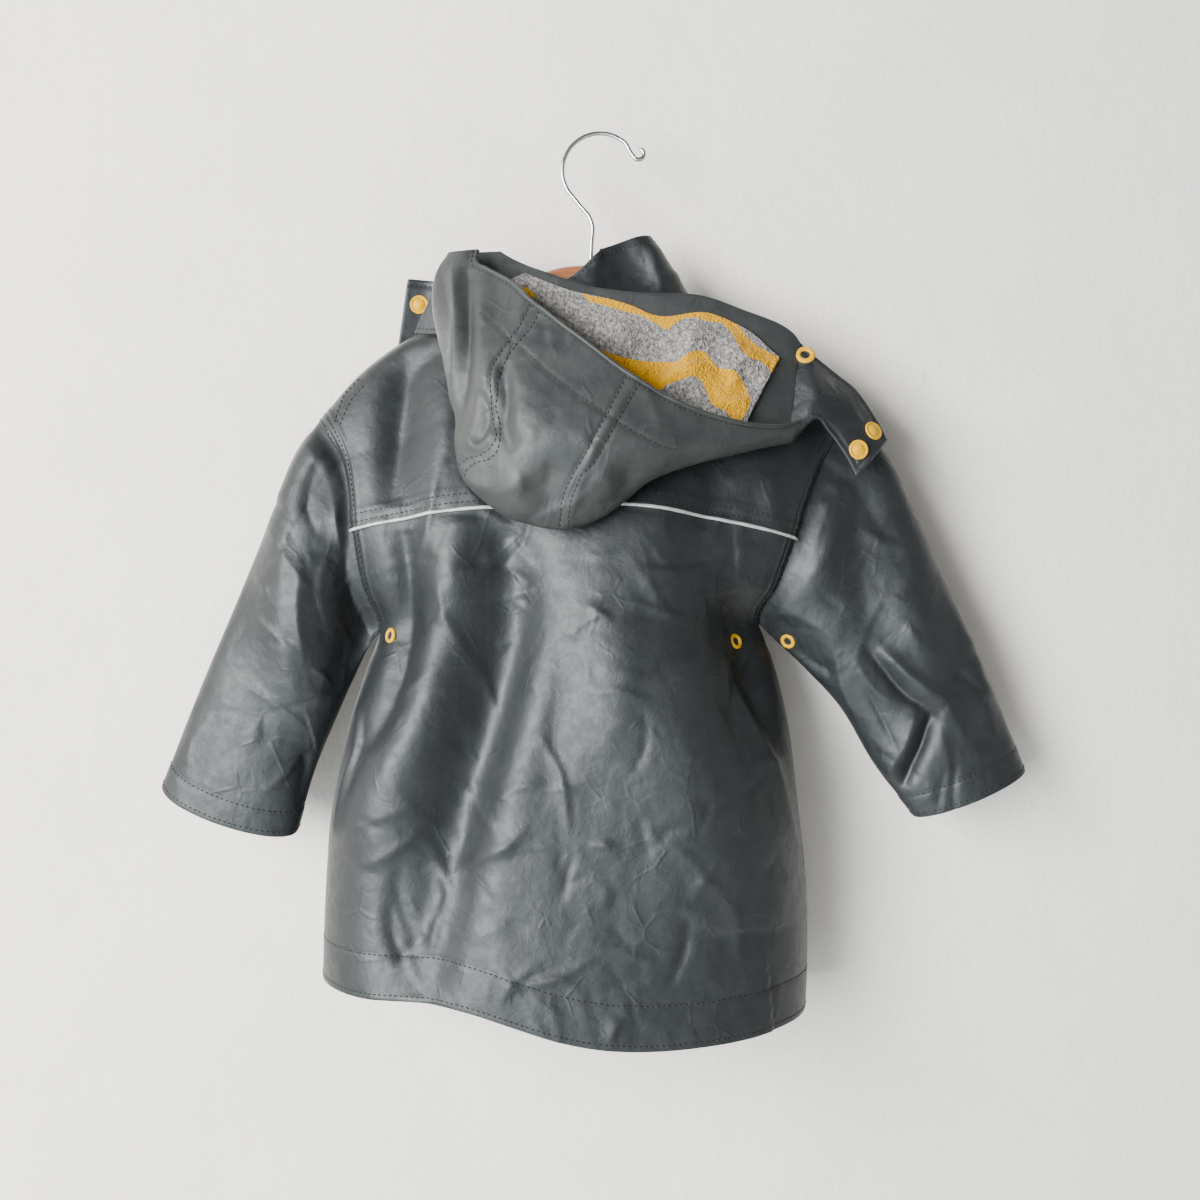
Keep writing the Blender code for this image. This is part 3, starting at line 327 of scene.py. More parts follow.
def as_seen(points: Array) -> Array:
    """The same points where the eye sees them in the hanger's plane."""
    x, z = seen(points)
    return np.stack([x, 0 * x, z], axis=-1)


def inside_of(outline: Line, x: Array, z: Array) -> Array:
    """How far points are inside a closed outline: its distance, below 0 outside it.

    Args:
        outline: Its corners (x, z).
        x: Where the points are.
        z: The same, upwards.

    Returns:
        The distances.
    """
    corners = np.array(outline, float)
    ends = np.roll(corners, -1, axis=0)
    nearest = np.full(x.shape, np.inf)
    crossed = np.zeros(x.shape, bool)
    for (ax, az), (bx, bz) in zip(corners, ends):
        squared = (bx - ax) ** 2 + (bz - az) ** 2
        along = np.clip(((x - ax) * (bx - ax) + (z - az) * (bz - az)) / squared, 0.0, 1.0)
        nearest = np.minimum(nearest, np.hypot(x - ax - along * (bx - ax), z - az - along * (bz - az)))
        if az != bz:
            crossed ^= ((az > z) != (bz > z)) & (x < (bx - ax) * (z - az) / (bz - az) + ax)
    return np.where(crossed, nearest, -nearest)


@dataclass(frozen=True)
class Crease:
    """A ridge (height above 0) or a trough (below 0) in the cloth, as the eye sees its line.

    Left and right are its half widths, looking down its line; sharp is its profile's power,
    where 2 is round and nearer 1 has a sharp edge.
    """

    left: float
    right: float
    height: float
    sharp: float
    line: Line

    def relief(self, x: Array, z: Array) -> Array:
        """height * exp(-(distance / half width)^sharp), lower towards both ends of the line.

        Args:
            x: Where the eye sees the cloth's points.
            z: The same, upwards.

        Returns:
            The height at each point.
        """
        total = np.zeros_like(x)
        curve = curve_through(self.line)
        reach = 3.2 * max(self.left, self.right)
        low = curve.min(axis=0) - reach
        high = curve.max(axis=0) + reach
        near = (x > low[0]) & (x < high[0]) & (z > low[1]) & (z < high[1])
        if not near.any():
            return total
        px = x[near][:, None]
        pz = z[near][:, None]
        runs = np.diff(curve, axis=0)
        lengths = np.linalg.norm(runs, axis=1)
        runs = runs / lengths[:, None]
        passed = np.concatenate([[0.0], np.cumsum(lengths)])
        away_x = px - curve[:-1, 0]
        away_z = pz - curve[:-1, 1]
        along = np.clip(away_x * runs[:, 0] + away_z * runs[:, 1], 0.0, lengths)
        distance = np.hypot(away_x - along * runs[:, 0], away_z - along * runs[:, 1])
        pick = np.argmin(distance, axis=1)
        each = np.arange(len(pick))
        distance = distance[each, pick]
        side = runs[pick, 0] * away_z[each, pick] - runs[pick, 1] * away_x[each, pick]
        width = np.where(side > 0.0, self.right, self.left)
        place = (passed[pick] + along[each, pick]) / passed[-1]
        ends = 0.25 + 0.75 * np.sin(math.pi * np.clip(place, 0.0, 1.0)) ** 0.6
        total[near] = self.height * ends * np.exp(-((distance / width) ** self.sharp))
        return total


def relief_of(creases: Iterable[Crease], points: Array) -> Array:
    """The height of all the creases together at a grid of points."""
    x, z = seen(points)
    return sum((crease.relief(x, z) for crease in creases), np.zeros_like(x))


@dataclass(frozen=True)
class ClothNoise:
    """Seeded unevenness of hanging cloth."""

    seed: int

    def lattice(self, column: Array, row: Array, channel: int) -> Array:
        """A fixed number from 0 to 1 for each cell, by mixing the bits of its place.

        Args:
            column: The cells' columns.
            row: Their rows.
            channel: Which of their numbers.

        Returns:
            The numbers.
        """
        mixed = (column.astype(np.int64) * 374761393 + row.astype(np.int64) * 668265263) & 0xFFFFFFFF
        mixed = (mixed + (self.seed * 40503 + channel * 69069 + 12345) * 2654435) & 0xFFFFFFFF
        mixed = ((mixed ^ (mixed >> 13)) * 1274126177) & 0xFFFFFFFF
        mixed = ((mixed ^ (mixed >> 16)) * 668265263) & 0xFFFFFFFF
        return (mixed ^ (mixed >> 15)) / 4294967296.0

    def soft(self, x: Array, z: Array, channel: int = 0) -> Array:
        """Soft hills and dips from -1 to 1, one cell wide, blended between cell corners.

        Args:
            x: Where, in cells.
            z: The same, upwards.
            channel: Which field.

        Returns:
            The height at each place.
        """
        column = np.floor(x)
        row = np.floor(z)
        right = smooth_step(x - column)
        down = smooth_step(z - row)
        low = self.lattice(column, row, channel) * (1 - right)
        low += self.lattice(column + 1, row, channel) * right
        high = self.lattice(column, row + 1, channel) * (1 - right)
        high += self.lattice(column + 1, row + 1, channel) * right
        return 2.0 * (low * (1 - down) + high * down) - 1.0

    def crumple(self, x: Array, z: Array) -> Array:
        """Shallow bowls that meet in sharp ridges: the lowest of |d|^2 + slope * d over nine cells.

        Args:
            x: Where, in cells.
            z: The same, upwards.

        Returns:
            The height at each place.
        """
        column = np.floor(x)
        row = np.floor(z)
        lowest = np.full(x.shape, np.inf)
        for across in (-1, 0, 1):
            for up in (-1, 0, 1):
                cell = (column + across, row + up)
                away_x = x - cell[0] - self.lattice(*cell, 1)
                away_z = z - cell[1] - self.lattice(*cell, 2)
                slope_x = 0.8 * (self.lattice(*cell, 3) - 0.5)
                slope_z = 0.8 * (self.lattice(*cell, 4) - 0.5)
                bowl = away_x**2 + away_z**2 + slope_x * away_x + slope_z * away_z
                lowest = np.minimum(lowest, bowl)
        return lowest - 0.25

    def scattered(self, count: int, low: Pair, high: Pair, scale: float = 1.0) -> tuple[Crease, ...]:
        """Short fine creases at seeded places in a box (x, z): each is bent once.

        Args:
            count: How many.
            low: The box's lowest corner.
            high: Its highest corner.
            scale: Their size.

        Returns:
            The creases.
        """
        number = np.arange(count)
        draw = [self.lattice(number, 7 * number + 3, 20 + channel) for channel in range(7)]
        x = low[0] + (high[0] - low[0]) * draw[0]
        z = low[1] + (high[1] - low[1]) * draw[1]
        turn = math.pi * draw[2]
        reach = scale * (7.0 + 24.0 * draw[3] ** 2)
        bend = reach * 0.5 * (draw[4] - 0.5)
        height = scale * (0.5 + 1.1 * draw[5] ** 2) * np.where(draw[6] < 0.35, -1.0, 1.0)
        along_x, along_z = reach * np.cos(turn), reach * np.sin(turn)
        made = []
        for k in range(count):
            middle = (x[k] - bend[k] * math.sin(turn[k]), z[k] + bend[k] * math.cos(turn[k]))
            ends = (x[k] - along_x[k], z[k] - along_z[k]), (x[k] + along_x[k], z[k] + along_z[k])
            made.append(Crease(2.2, 3.0 + 4.0 * draw[4][k], height[k], 1.4, (ends[0], middle, ends[1])))
        return tuple(made)

    def creasing(self, points: Array, wide: float, tall: float) -> Array:
        """Crumples about `wide` by `tall`, bent so that no two are alike, from about -1 to 1.

        Args:
            points: Where, of which x and z count.
            wide: Their width.
            tall: Their height.

        Returns:
            The height at each point.
        """
        x = points[..., 0] / wide + 0.35 * self.soft(points[..., 2] / tall, points[..., 0] / wide, 5)
        z = points[..., 2] / tall + 0.35 * self.soft(points[..., 0] / wide, points[..., 2] / tall, 6)
        return 1.6 * (self.crumple(x, z) - self.crumple(x + 31.7, z - 17.3))

    def mixed(self, points: Array, sizes: Iterable[Point]) -> Array:
        """Crumples of several sizes together, each given as (height, wide, tall)."""
        return sum(height * self.creasing(points, wide, tall) for height, wide, tall in sizes)


@dataclass
class ClothGrid:
    """The outer face of a piece of cloth: a grid of points and the way into the wall at each."""

    points: Array
    inward: Array

    def down(self) -> Array:
        """Length of cloth from the first row, down each column."""
        steps = np.linalg.norm(np.diff(self.points, axis=0), axis=-1)
        return np.concatenate([np.zeros((1, steps.shape[1])), np.cumsum(steps, axis=0)])

    def up(self) -> Array:
        """Length of cloth from the last row, up each column."""
        down = self.down()
        return down[-1] - down

    def across(self) -> Array:
        """Length of cloth from the first column, along each row."""
        steps = np.linalg.norm(np.diff(self.points, axis=1), axis=-1)
        return np.concatenate([np.zeros((steps.shape[0], 1)), np.cumsum(steps, axis=1)], axis=1)

    def raised(self, height: Array) -> "ClothGrid":
        """The same cloth, each point moved out of the wall by its height."""
        return ClothGrid(self.points - self.inward * height[..., None], self.inward)

    def cut(self, rows: slice, columns: slice) -> "ClothGrid":
        """A part of the cloth."""
        return ClothGrid(self.points[rows, columns], self.inward[rows, columns])

    def row_at(self, level: Array) -> Path:
        """The path along the cloth at one fractional row for each column.

        Args:
            level: The row's number in each column.

        Returns:
            The path.
        """
        low = np.clip(np.floor(level).astype(int), 0, self.points.shape[0] - 2)
        part = (level - low)[:, None]
        column = np.arange(self.points.shape[1])
        points = self.points[low, column] * (1 - part) + self.points[low + 1, column] * part
        outward = -self.inward[low, column] * (1 - part) - self.inward[low + 1, column] * part
        return points, unit(outward)

    def row_down(self, length: float) -> Path:
        """The path along the cloth at a length down from its first row."""
        return self.row_at(level_of(self.down(), length))

    def row_up(self, length: float) -> Path:
        """The path along the cloth at a length up from its last row."""
        return self.row_at(len(self.points) - 1 - level_of(self.up()[::-1], length))

    def turned(self) -> "ClothGrid":
        """The same cloth with its rows and columns exchanged."""
        return ClothGrid(np.swapaxes(self.points, 0, 1), np.swapaxes(self.inward, 0, 1))

    def under(self, line: Line, spacing: float = 1.5) -> Path:
        """The path where the eye sees a line on this cloth.

        Args:
            line: A few points (x, z) against the hanger's plane.
            spacing: How far apart the points found are.

        Returns:
            The path: each point is the mean of the cloth's four nearest that face the eye.
        """
        flat = self.points.reshape(-1, 3)
        normals = -self.inward.reshape(-1, 3)
        facing = normals[:, 1] < -0.05
        flat = flat[facing]
        normals = normals[facing]
        x, z = seen(flat)
        target = curve_through(line, spacing)
        away = np.hypot(x[None] - target[:, :1], z[None] - target[:, 1:])
        near = np.argpartition(away, 4, axis=1)[:, :4]
        weight = 1.0 / (np.take_along_axis(away, near, axis=1) + 0.05) ** 2
        weight = (weight / weight.sum(axis=1, keepdims=True))[..., None]
        return (flat[near] * weight).sum(axis=1), unit((normals[near] * weight).sum(axis=1))


def level_of(lengths: Array, wanted: float) -> Array:
    """For each column of growing lengths, the fractional row at which they pass `wanted`.

    Args:
        lengths: Lengths that grow down each column.
        wanted: The length looked for.

    Returns:
        One row's number for each column.
    """
    over = np.clip((lengths < wanted).sum(axis=0), 1, lengths.shape[0] - 1)
    column = np.arange(lengths.shape[1])
    before = lengths[over - 1, column]
    after = lengths[over, column]
    return over - 1 + np.clip((wanted - before) / np.maximum(after - before, 1e-6), 0.0, 1.0)


# ---------------------------------------------------------------- meshes


def grid_faces(index: Array, ring: bool = False) -> Array:
    """The four-sided faces of a grid of point numbers, closed round when it is a ring.

    Args:
        index: The point numbers.
        ring: Whether the columns go round.

    Returns:
        Four point numbers for each face.
    """
    if ring:
        index = np.concatenate([index, index[:, :1]], axis=1)
    corners = (index[:-1, :-1], index[:-1, 1:], index[1:, 1:], index[1:, :-1])
    return np.stack(corners, axis=-1).reshape(-1, 4)


def border(index: Array) -> Array:
    """The values round a grid's edge, from its first corner."""
    return np.concatenate([index[0], index[1:, -1], index[-1, -2::-1], index[-2:0:-1, 0]])


def enclosed_volume(points: Array, faces: Array) -> float:
    """Six times the volume inside closed faces; below 0 where they face inwards.

    Args:
        points: The corners.
        faces: Four corner numbers for each face.

    Returns:
        The number, in cubic millimetres.
    """
    a, b, c, d = (points[faces[:, corner]] for corner in range(4))
    first = np.einsum("ij,ij->i", a, np.cross(b, c)).sum()
    return float(first + np.einsum("ij,ij->i", a, np.cross(c, d)).sum())


def new_piece(
    name: str, points: Array, faces: Array, finishes: Sequence[Any], kinds: Array | None = None
) -> Any:
    """A mesh object whose faces look outwards.

    Args:
        name: The piece's name.
        points: Its points, in millimetres.
        faces: Its four-sided faces; a triangle repeats its last corner.
        finishes: Its materials.
        kinds: For each face, the number of its material.

    Returns:
        The object, at the origin, riding on the coat's one body.
    """
    if enclosed_volume(points, faces) < 0.0:
        faces = faces[:, ::-1]
    three = (faces[:, 0] == faces[:, 3]) | (faces[:, 2] == faces[:, 3])
    sizes = np.where(three, 3, 4)
    first_same = (faces[:, 0] == faces[:, 1]) | (faces[:, 0] == faces[:, 3])
    ordered = np.where(first_same[:, None], np.roll(faces, -1, axis=1), faces)
    keep = np.ones(faces.shape, bool)
    keep[three, 3] = False
    mesh = bpy.data.meshes.new(name)
    mesh.vertices.add(len(points))
    mesh.vertices.foreach_set("co", (np.asarray(points, np.float64) * MM).astype(np.float32).ravel())
    mesh.loops.add(int(sizes.sum()))
    mesh.loops.foreach_set("vertex_index", ordered[keep].astype(np.int32))
    mesh.polygons.add(len(faces))
    starts = np.concatenate([[0], np.cumsum(sizes)[:-1]]).astype(np.int32)
    mesh.polygons.foreach_set("loop_start", starts)
    mesh.polygons.foreach_set("use_smooth", np.ones(len(faces), bool))
    for finish in finishes:
        mesh.materials.append(finish)
    if kinds is not None:
        mesh.polygons.foreach_set("material_index", np.asarray(kinds, np.int32))
    mesh.update(calc_edges=True)
    mesh.validate()
    piece = bpy.data.objects.new(name, mesh)
    bpy.context.scene.collection.objects.link(piece)
    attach(piece, "root")
    return piece


RIM_TURNS = np.radians([45.0, 90.0, 135.0])


def rim_rings(outer: Array, inner: Array, beyond: Array) -> Array:
    """Rows of points that round a wall's edge off from its outer to its inner line.

    Each is the middle of the two lines, plus half their distance times the cosine of its
    turn, plus the sine of it times half the wall outwards.

    Args:
        outer: The wall's outer edge.
        inner: Its inner edge.
        beyond: The direction out of the cloth at the edge.

    Returns:
        One row for each turn.
    """
    middle = (outer + inner) / 2
    half = (outer - inner) / 2
    thick = np.linalg.norm(half, axis=-1, keepdims=True)
    return np.stack([middle + half * math.cos(t) + beyond * thick * math.sin(t) for t in RIM_TURNS])


def cloth_wall(
    name: str, cloth: ClothGrid, thickness: Any, finishes: Sequence[Any], ring: bool = False
) -> Any:
    """A closed wall of cloth: its outer face, the same face moved inwards, and rounded edges.

    Args:
        name: The piece's name.
        cloth: The outer face.
        thickness: The wall, one number or one for each point.
        finishes: The outside's material and the inside's.
        ring: Whether the columns go round.

    Returns:
        The object.
    """
    outer = cloth.points
    rows, columns = outer.shape[:2]
    depth = np.broadcast_to(np.asarray(thickness, float), (rows, columns))[..., None]
    inner = outer + cloth.inward * depth
    index = np.arange(rows * columns).reshape(rows, columns)
    under = index + rows * columns
    if ring:
        loops = [(index[0], under[0]), (index[-1, ::-1], under[-1, ::-1])]
    else:
        loops = [(border(index), border(under))]
    inside = np.ix_(
        np.clip(np.arange(rows), 1, rows - 2),
        np.arange(columns) if ring else np.clip(np.arange(columns), 1, columns - 2),
    )
    leaving = unit(outer - outer[inside])
    leaving = unit(leaving - cloth.inward * (leaving * cloth.inward).sum(axis=-1, keepdims=True))
    points = [outer.reshape(-1, 3), inner.reshape(-1, 3)]
    faces = [grid_faces(index, ring), grid_faces(under, ring)[:, ::-1]]
    kinds = [np.zeros(len(faces[0])), np.ones(len(faces[1]))]
    count = 2 * rows * columns
    for top, bottom in loops:
        beyond = leaving.reshape(-1, 3)[top]
        rings = rim_rings(points[0][top], points[1][bottom - rows * columns], beyond)
        numbers = np.arange(rings.size // 3).reshape(rings.shape[:2]) + count
        count += numbers.size
        points.append(rings.reshape(-1, 3))
        strip = np.concatenate([top[None], numbers, bottom[None]])
        faces.append(grid_faces(strip, True)[:, ::-1])
        kinds.append(np.zeros(len(faces[-1])))
    shown = finishes if len(finishes) > 1 else (finishes[0], finishes[0])
    return new_piece(name, np.concatenate(points), np.concatenate(faces), shown, np.concatenate(kinds))


def lofted(rings: Array) -> tuple[Array, Array]:
    """Points and faces of a closed body through rings of points, its ends closed to a point.

    Args:
        rings: The rings, one after the other.

    Returns:
        The points and the faces.
    """
    count, sides = rings.shape[:2]
    index = np.arange(count * sides).reshape(count, sides)
    tips = np.stack([rings[0].mean(axis=0), rings[-1].mean(axis=0)])
    first = np.full((1, sides), count * sides)
    last = np.full((1, sides), count * sides + 1)
    faces = grid_faces(np.concatenate([first, index, last]), True)
    return np.concatenate([rings.reshape(-1, 3), tips]), faces


def tube_rings(path: Array, radius: Any, sides: int) -> Array:
    """Circles of a round bar along a path, each turned as little as possible from the last.

    Args:
        path: The bar's middle line.
        radius: One number or one for each point.
        sides: Points of a circle.

    Returns:
        One ring for each point of the path.
    """
    runs = unit(np.gradient(path, axis=0))
    side = unit(np.cross(runs[0], (0.31, 0.87, 0.38)))
    turn = np.arange(sides) * 2 * math.pi / sides
    radius = np.broadcast_to(radius, len(path))
    rings = []
    for point, run, size in zip(path, runs, radius):
        side = unit(side - run * (side @ run))
        spokes = np.outer(np.cos(turn), side) + np.outer(np.sin(turn), np.cross(run, side))
        rings.append(point + size * spokes)
    return np.stack(rings)


def spun(profile: Line, centre: Array, axis: Array, sides: int) -> Array:
    """Rings of a turned body: (radius, height) pairs spun round `axis` through `centre`.

    Args:
        profile: The pairs.
        centre: Where the height is 0.
        axis: The way up.
        sides: Points of a ring.

    Returns:
        One ring for each pair.
    """
    axis = unit(np.asarray(axis, float))
    side = unit(np.cross(axis, (0.12, 0.31, 0.94)))
    turn = np.arange(sides) * 2 * math.pi / sides
    spokes = np.outer(np.cos(turn), side) + np.outer(np.sin(turn), np.cross(axis, side))
    pairs = np.asarray(profile, float)
    return np.asarray(centre) + pairs[:, :1, None] * spokes + pairs[:, 1:, None] * axis


@dataclass
class Thread:
    """A machine's stitches, gathered row by row into one piece.

    From one stitch to the next is the pitch, and of each the length shows.
    """

    pitch: float = 3.4
    length: float = 2.5
    width: float = 0.8
    height: float = 0.42
    points: list[Array] = field(default_factory=list)
    faces: list[Array] = field(default_factory=list)
    count: int = 0

    def sew(self, path: Path) -> None:
        """Adds one row: a lens of thread at each step, its ends sunk into the cloth.

        A lens is rings round the thread's line: at `along` from -1 to 1 the thread is
        (1 - along^4) times its full width, and lies along^2 times its height lower.

        Args:
            path: Where the row runs.
        """
        points, outward = path
        passed = lengths_along(points)
        number = int(passed[-1] / self.pitch)
        if number < 2:
            return
        places = (np.arange(number) + 0.5) * passed[-1] / number
        middle = self._read(passed, points, places)
        run = unit(self._read(passed, points, places + 0.6) - self._read(passed, points, places - 0.6))
        up = self._read(passed, outward, places)
        up = unit(up - run * (up * run).sum(axis=1, keepdims=True))
        side = np.cross(run, up)
        along = np.array([-1.0, -0.72, 0.0, 0.72, 1.0])
        full = np.array([0.12, 0.8, 1.0, 0.8, 0.12])
        turn = np.arange(6) * math.pi / 3
        lift = self.height * (0.45 - 0.8 * along**2)
        shape = middle[:, None, None] + (self.length / 2 * along)[:, None, None] * run[:, None, None]
        shape = shape + lift[:, None, None] * up[:, None, None]
        wide = (self.width / 2 * full[:, None] * np.cos(turn))[..., None]
        high = (self.height * full[:, None] * np.sin(turn))[..., None]
        shape = shape + wide * side[:, None, None] + high * up[:, None, None]
        index = np.arange(shape[0].size // 3).reshape(5, 6)
        start = self.count + np.arange(number)[:, None, None] * index.size
        ends = [[0, 1, 2, 3], [0, 3, 4, 5], [27, 26, 25, 24], [29, 28, 27, 24]]
        faces = np.concatenate([grid_faces(index, True), np.array(ends)])
        self.points.append(shape.reshape(-1, 3))
        self.faces.append((start + faces).reshape(-1, 4))
        self.count += number * index.size

    @staticmethod
    def _read(passed: Array, values: Array, places: Array) -> Array:
        """Values along the path at the given lengths."""
        return np.stack([np.interp(places, passed, values[:, axis]) for axis in range(3)], axis=1)

    def piece(self, label: str, finishes: "Finishes") -> Any:
        """All the rows so far as one object, named after the label."""
        points, faces = np.concatenate(self.points), np.concatenate(self.faces)
        return new_piece(f"{label}_stitches", points, faces, [finishes.thread])


class Slot(Enum):
    """The record's material slots."""

    CLOTH = "coated_cloth"
    TERRY = "terry_lining"
    PLASTIC = "yellow_plastic"
    PIPING = "reflective_piping"
    WOOD = "hanger_wood"
    WIRE = "hook_wire"


@dataclass(frozen=True)
class FlatCut:
    """The size that a piece of cloth was cut to, in millimetres and square millimetres."""

    width: float
    length: float
    area: float

    def declare(self, piece: Any) -> None:
        """Does nothing with the piece; no sheet is declared."""


def dressed(piece: Any, nodes: Sequence[str], cut: FlatCut | None = None) -> Any:
    """Hides the solids that a finished piece replaces and logs its faces; its flat cut goes to declare,
    which does nothing.

    Args:
        piece: The object.
        nodes: The solids that it replaces.
        cut: Its flat cut, for cloth.

    Returns:
        The object.
    """
    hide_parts(*nodes)
    if cut is not None:
        cut.declare(piece)
    log.info("%s: %d faces", piece.name, len(piece.data.polygons))
    return piece


def cloth_piece(
    node: str, cloth: ClothGrid, thickness: Any, finishes: Sequence[Any], cut: FlatCut, ring: bool = False
) -> Any:
    """A wall of coated cloth that stands for one node and is named after it.

    Args:
        node: The solid that it replaces.
        cloth: The outer face.
        thickness: The wall, one number or one for each point.
        finishes: The outside's material and the inside's.
        cut: Its flat cut.
        ring: Whether the columns go round.

    Returns:
        The object.
    """
    return dressed(cloth_wall(f"{node}_cloth", cloth, thickness, finishes, ring), [node], cut)


# ---------------------------------------------------------------- shader maths


class Wire:
    """One output of a shader node, on which Python's operators add Math nodes."""

    def __init__(self, recipe: "Recipe", socket: Any) -> None:
        """Keeps the output and the recipe that it belongs to."""
        self.recipe = recipe
        self.socket = socket

    def _math(self, operation: str, first: Any, second: Any) -> "Wire":
        """A Math node on two values, each a wire or a number."""
        return self.recipe.node("ShaderNodeMath", {"operation": operation}, {0: first, 1: second})

    def __add__(self, other: Any) -> "Wire":
        """self + other."""
        return self._math("ADD", self, other)

    def __radd__(self, other: Any) -> "Wire":
        """other + self."""
        return self._math("ADD", other, self)

    def __sub__(self, other: Any) -> "Wire":
        """self - other."""
        return self._math("SUBTRACT", self, other)

    def __rsub__(self, other: Any) -> "Wire":
        """other - self."""
        return self._math("SUBTRACT", other, self)

    def __mul__(self, other: Any) -> "Wire":
        """self * other."""
        return self._math("MULTIPLY", self, other)

    def step(self, low: float, high: float) -> "Wire":
        """A smooth rise from 0 at low to 1 at high."""
        settings = {"interpolation_type": "SMOOTHSTEP"}
        return self.recipe.node("ShaderNodeMapRange", settings, {0: self, 1: low, 2: high})


class Recipe:
    """Builds one material's nodes."""

    def __init__(self, name: str) -> None:
        """Starts a material with its one surface shader.

        Args:
            name: The material's name.
        """
        self.material = bpy.data.materials.new(name)
        self.material.use_nodes = True
        self.tree = self.material.node_tree
        self.shader = self.tree.nodes["Principled BSDF"]
        self.place = self.node("ShaderNodeTexCoord", {}, {}, "Object")

    def node(self, kind: str, settings: dict[str, Any], values: dict[Any, Any], output: Any = 0) -> Wire:
        """Any node.

        Args:
            kind: Its type.
            settings: Its properties, set first.
            values: Its sockets' values or wires, by name or number.
            output: The output wanted.

        Returns:
            That output.
        """
        node = self.tree.nodes.new(kind)
        for name, value in settings.items():
            setattr(node, name, value)
        for name, value in values.items():
            self.feed(node.inputs[name], value)
        return Wire(self, node.outputs[output])

    def feed(self, socket: Any, value: Any) -> None:
        """A link where the value is a wire, otherwise a number or a colour on the socket.

        Args:
            socket: The input.
            value: What goes in.
        """
        if isinstance(value, Wire):
            self.tree.links.new(value.socket, socket)
        else:
            socket.default_value = value

    def vector(self, operation: str, values: dict[Any, Any]) -> Wire:
        """A Vector Math node."""
        return self.node("ShaderNodeVectorMath", {"operation": operation}, values)

    def stretched(self, across: float, along: float, up: float) -> Wire:
        """Object coordinates, each axis multiplied."""
        return self.vector("MULTIPLY", {0: self.place, 1: (across, along, up)})

    def noise(self, scale: float, detail: float = 2.0, rough: float = 0.5, place: Any = None) -> Wire:
        """Soft noise of a scale in repeats per metre."""
        values = {"Vector": place or self.place, "Scale": scale, "Detail": detail, "Roughness": rough}
        return self.node("ShaderNodeTexNoise", {}, values, "Fac")

    def warped(self, scale: float, amount: float) -> Wire:
        """Object coordinates bent by noise, so that no pattern on them runs straight.

        Args:
            scale: The noise's, in repeats per metre.
            amount: How far it bends them, in metres.

        Returns:
            The bent coordinates.
        """
        values = {"Vector": self.place, "Scale": scale, "Detail": 1.0}
        bend = self.node("ShaderNodeTexNoise", {}, values, "Color")
        centred = self.vector("SUBTRACT", {0: bend, 1: (0.5, 0.5, 0.5)})
        return self.vector("ADD", {0: self.place, 1: self.vector("SCALE", {0: centred, "Scale": amount})})

    def cells(self, scale: float, feature: str, place: Any = None) -> Wire:
        """Distances in a field of cells of a scale in repeats per metre."""
        values = {"Vector": place or self.place, "Scale": scale}
        return self.node("ShaderNodeTexVoronoi", {"feature": feature}, values, "Distance")

    def blend(self, part: Any, first: Any, second: Any) -> Wire:
        """A colour between two."""
        sockets = {0: part, 6: first, 7: second}
        return self.node("ShaderNodeMix", {"data_type": "RGBA"}, sockets, 2)

    def relief(self, height: Wire, depth: float, strength: float, below: Wire | None = None) -> Wire:
        """A Bump node.

        Args:
            height: The relief, from 0 to 1.
            depth: What 1 stands for, in metres.
            strength: How much of it shows.
            below: A coarser Bump node that this one lies on.

        Returns:
            The bent normal.
        """
        values = {"Height": height, "Distance": depth, "Strength": strength}
        if below is not None:
            values["Normal"] = below
        return self.node("ShaderNodeBump", {}, values)

    def clear_from_behind(self) -> None:
        """Makes the surface transparent where its back is seen."""
        behind = self.node("ShaderNodeNewGeometry", {}, {}, "Backfacing")
        clear = self.node("ShaderNodeBsdfTransparent", {}, {})
        solid = Wire(self, self.shader.outputs[0])
        both = self.node("ShaderNodeMixShader", {}, {0: behind, 1: solid, 2: clear})
        self.feed(self.tree.nodes["Material Output"].inputs["Surface"], both)

    def finish(self, values: dict[str, Any]) -> Any:
        """Feeds the surface's sockets and gives the material.

        Args:
            values: The sockets' values or wires, by name.

        Returns:
            The material.
        """
        for name, value in values.items():
            self.feed(self.shader.inputs[name], value)
        colour = values["Base Color"]
        if not isinstance(colour, Wire):
            self.material.diffuse_color = colour
        return self.material


Colour = tuple[float, float, float, float]


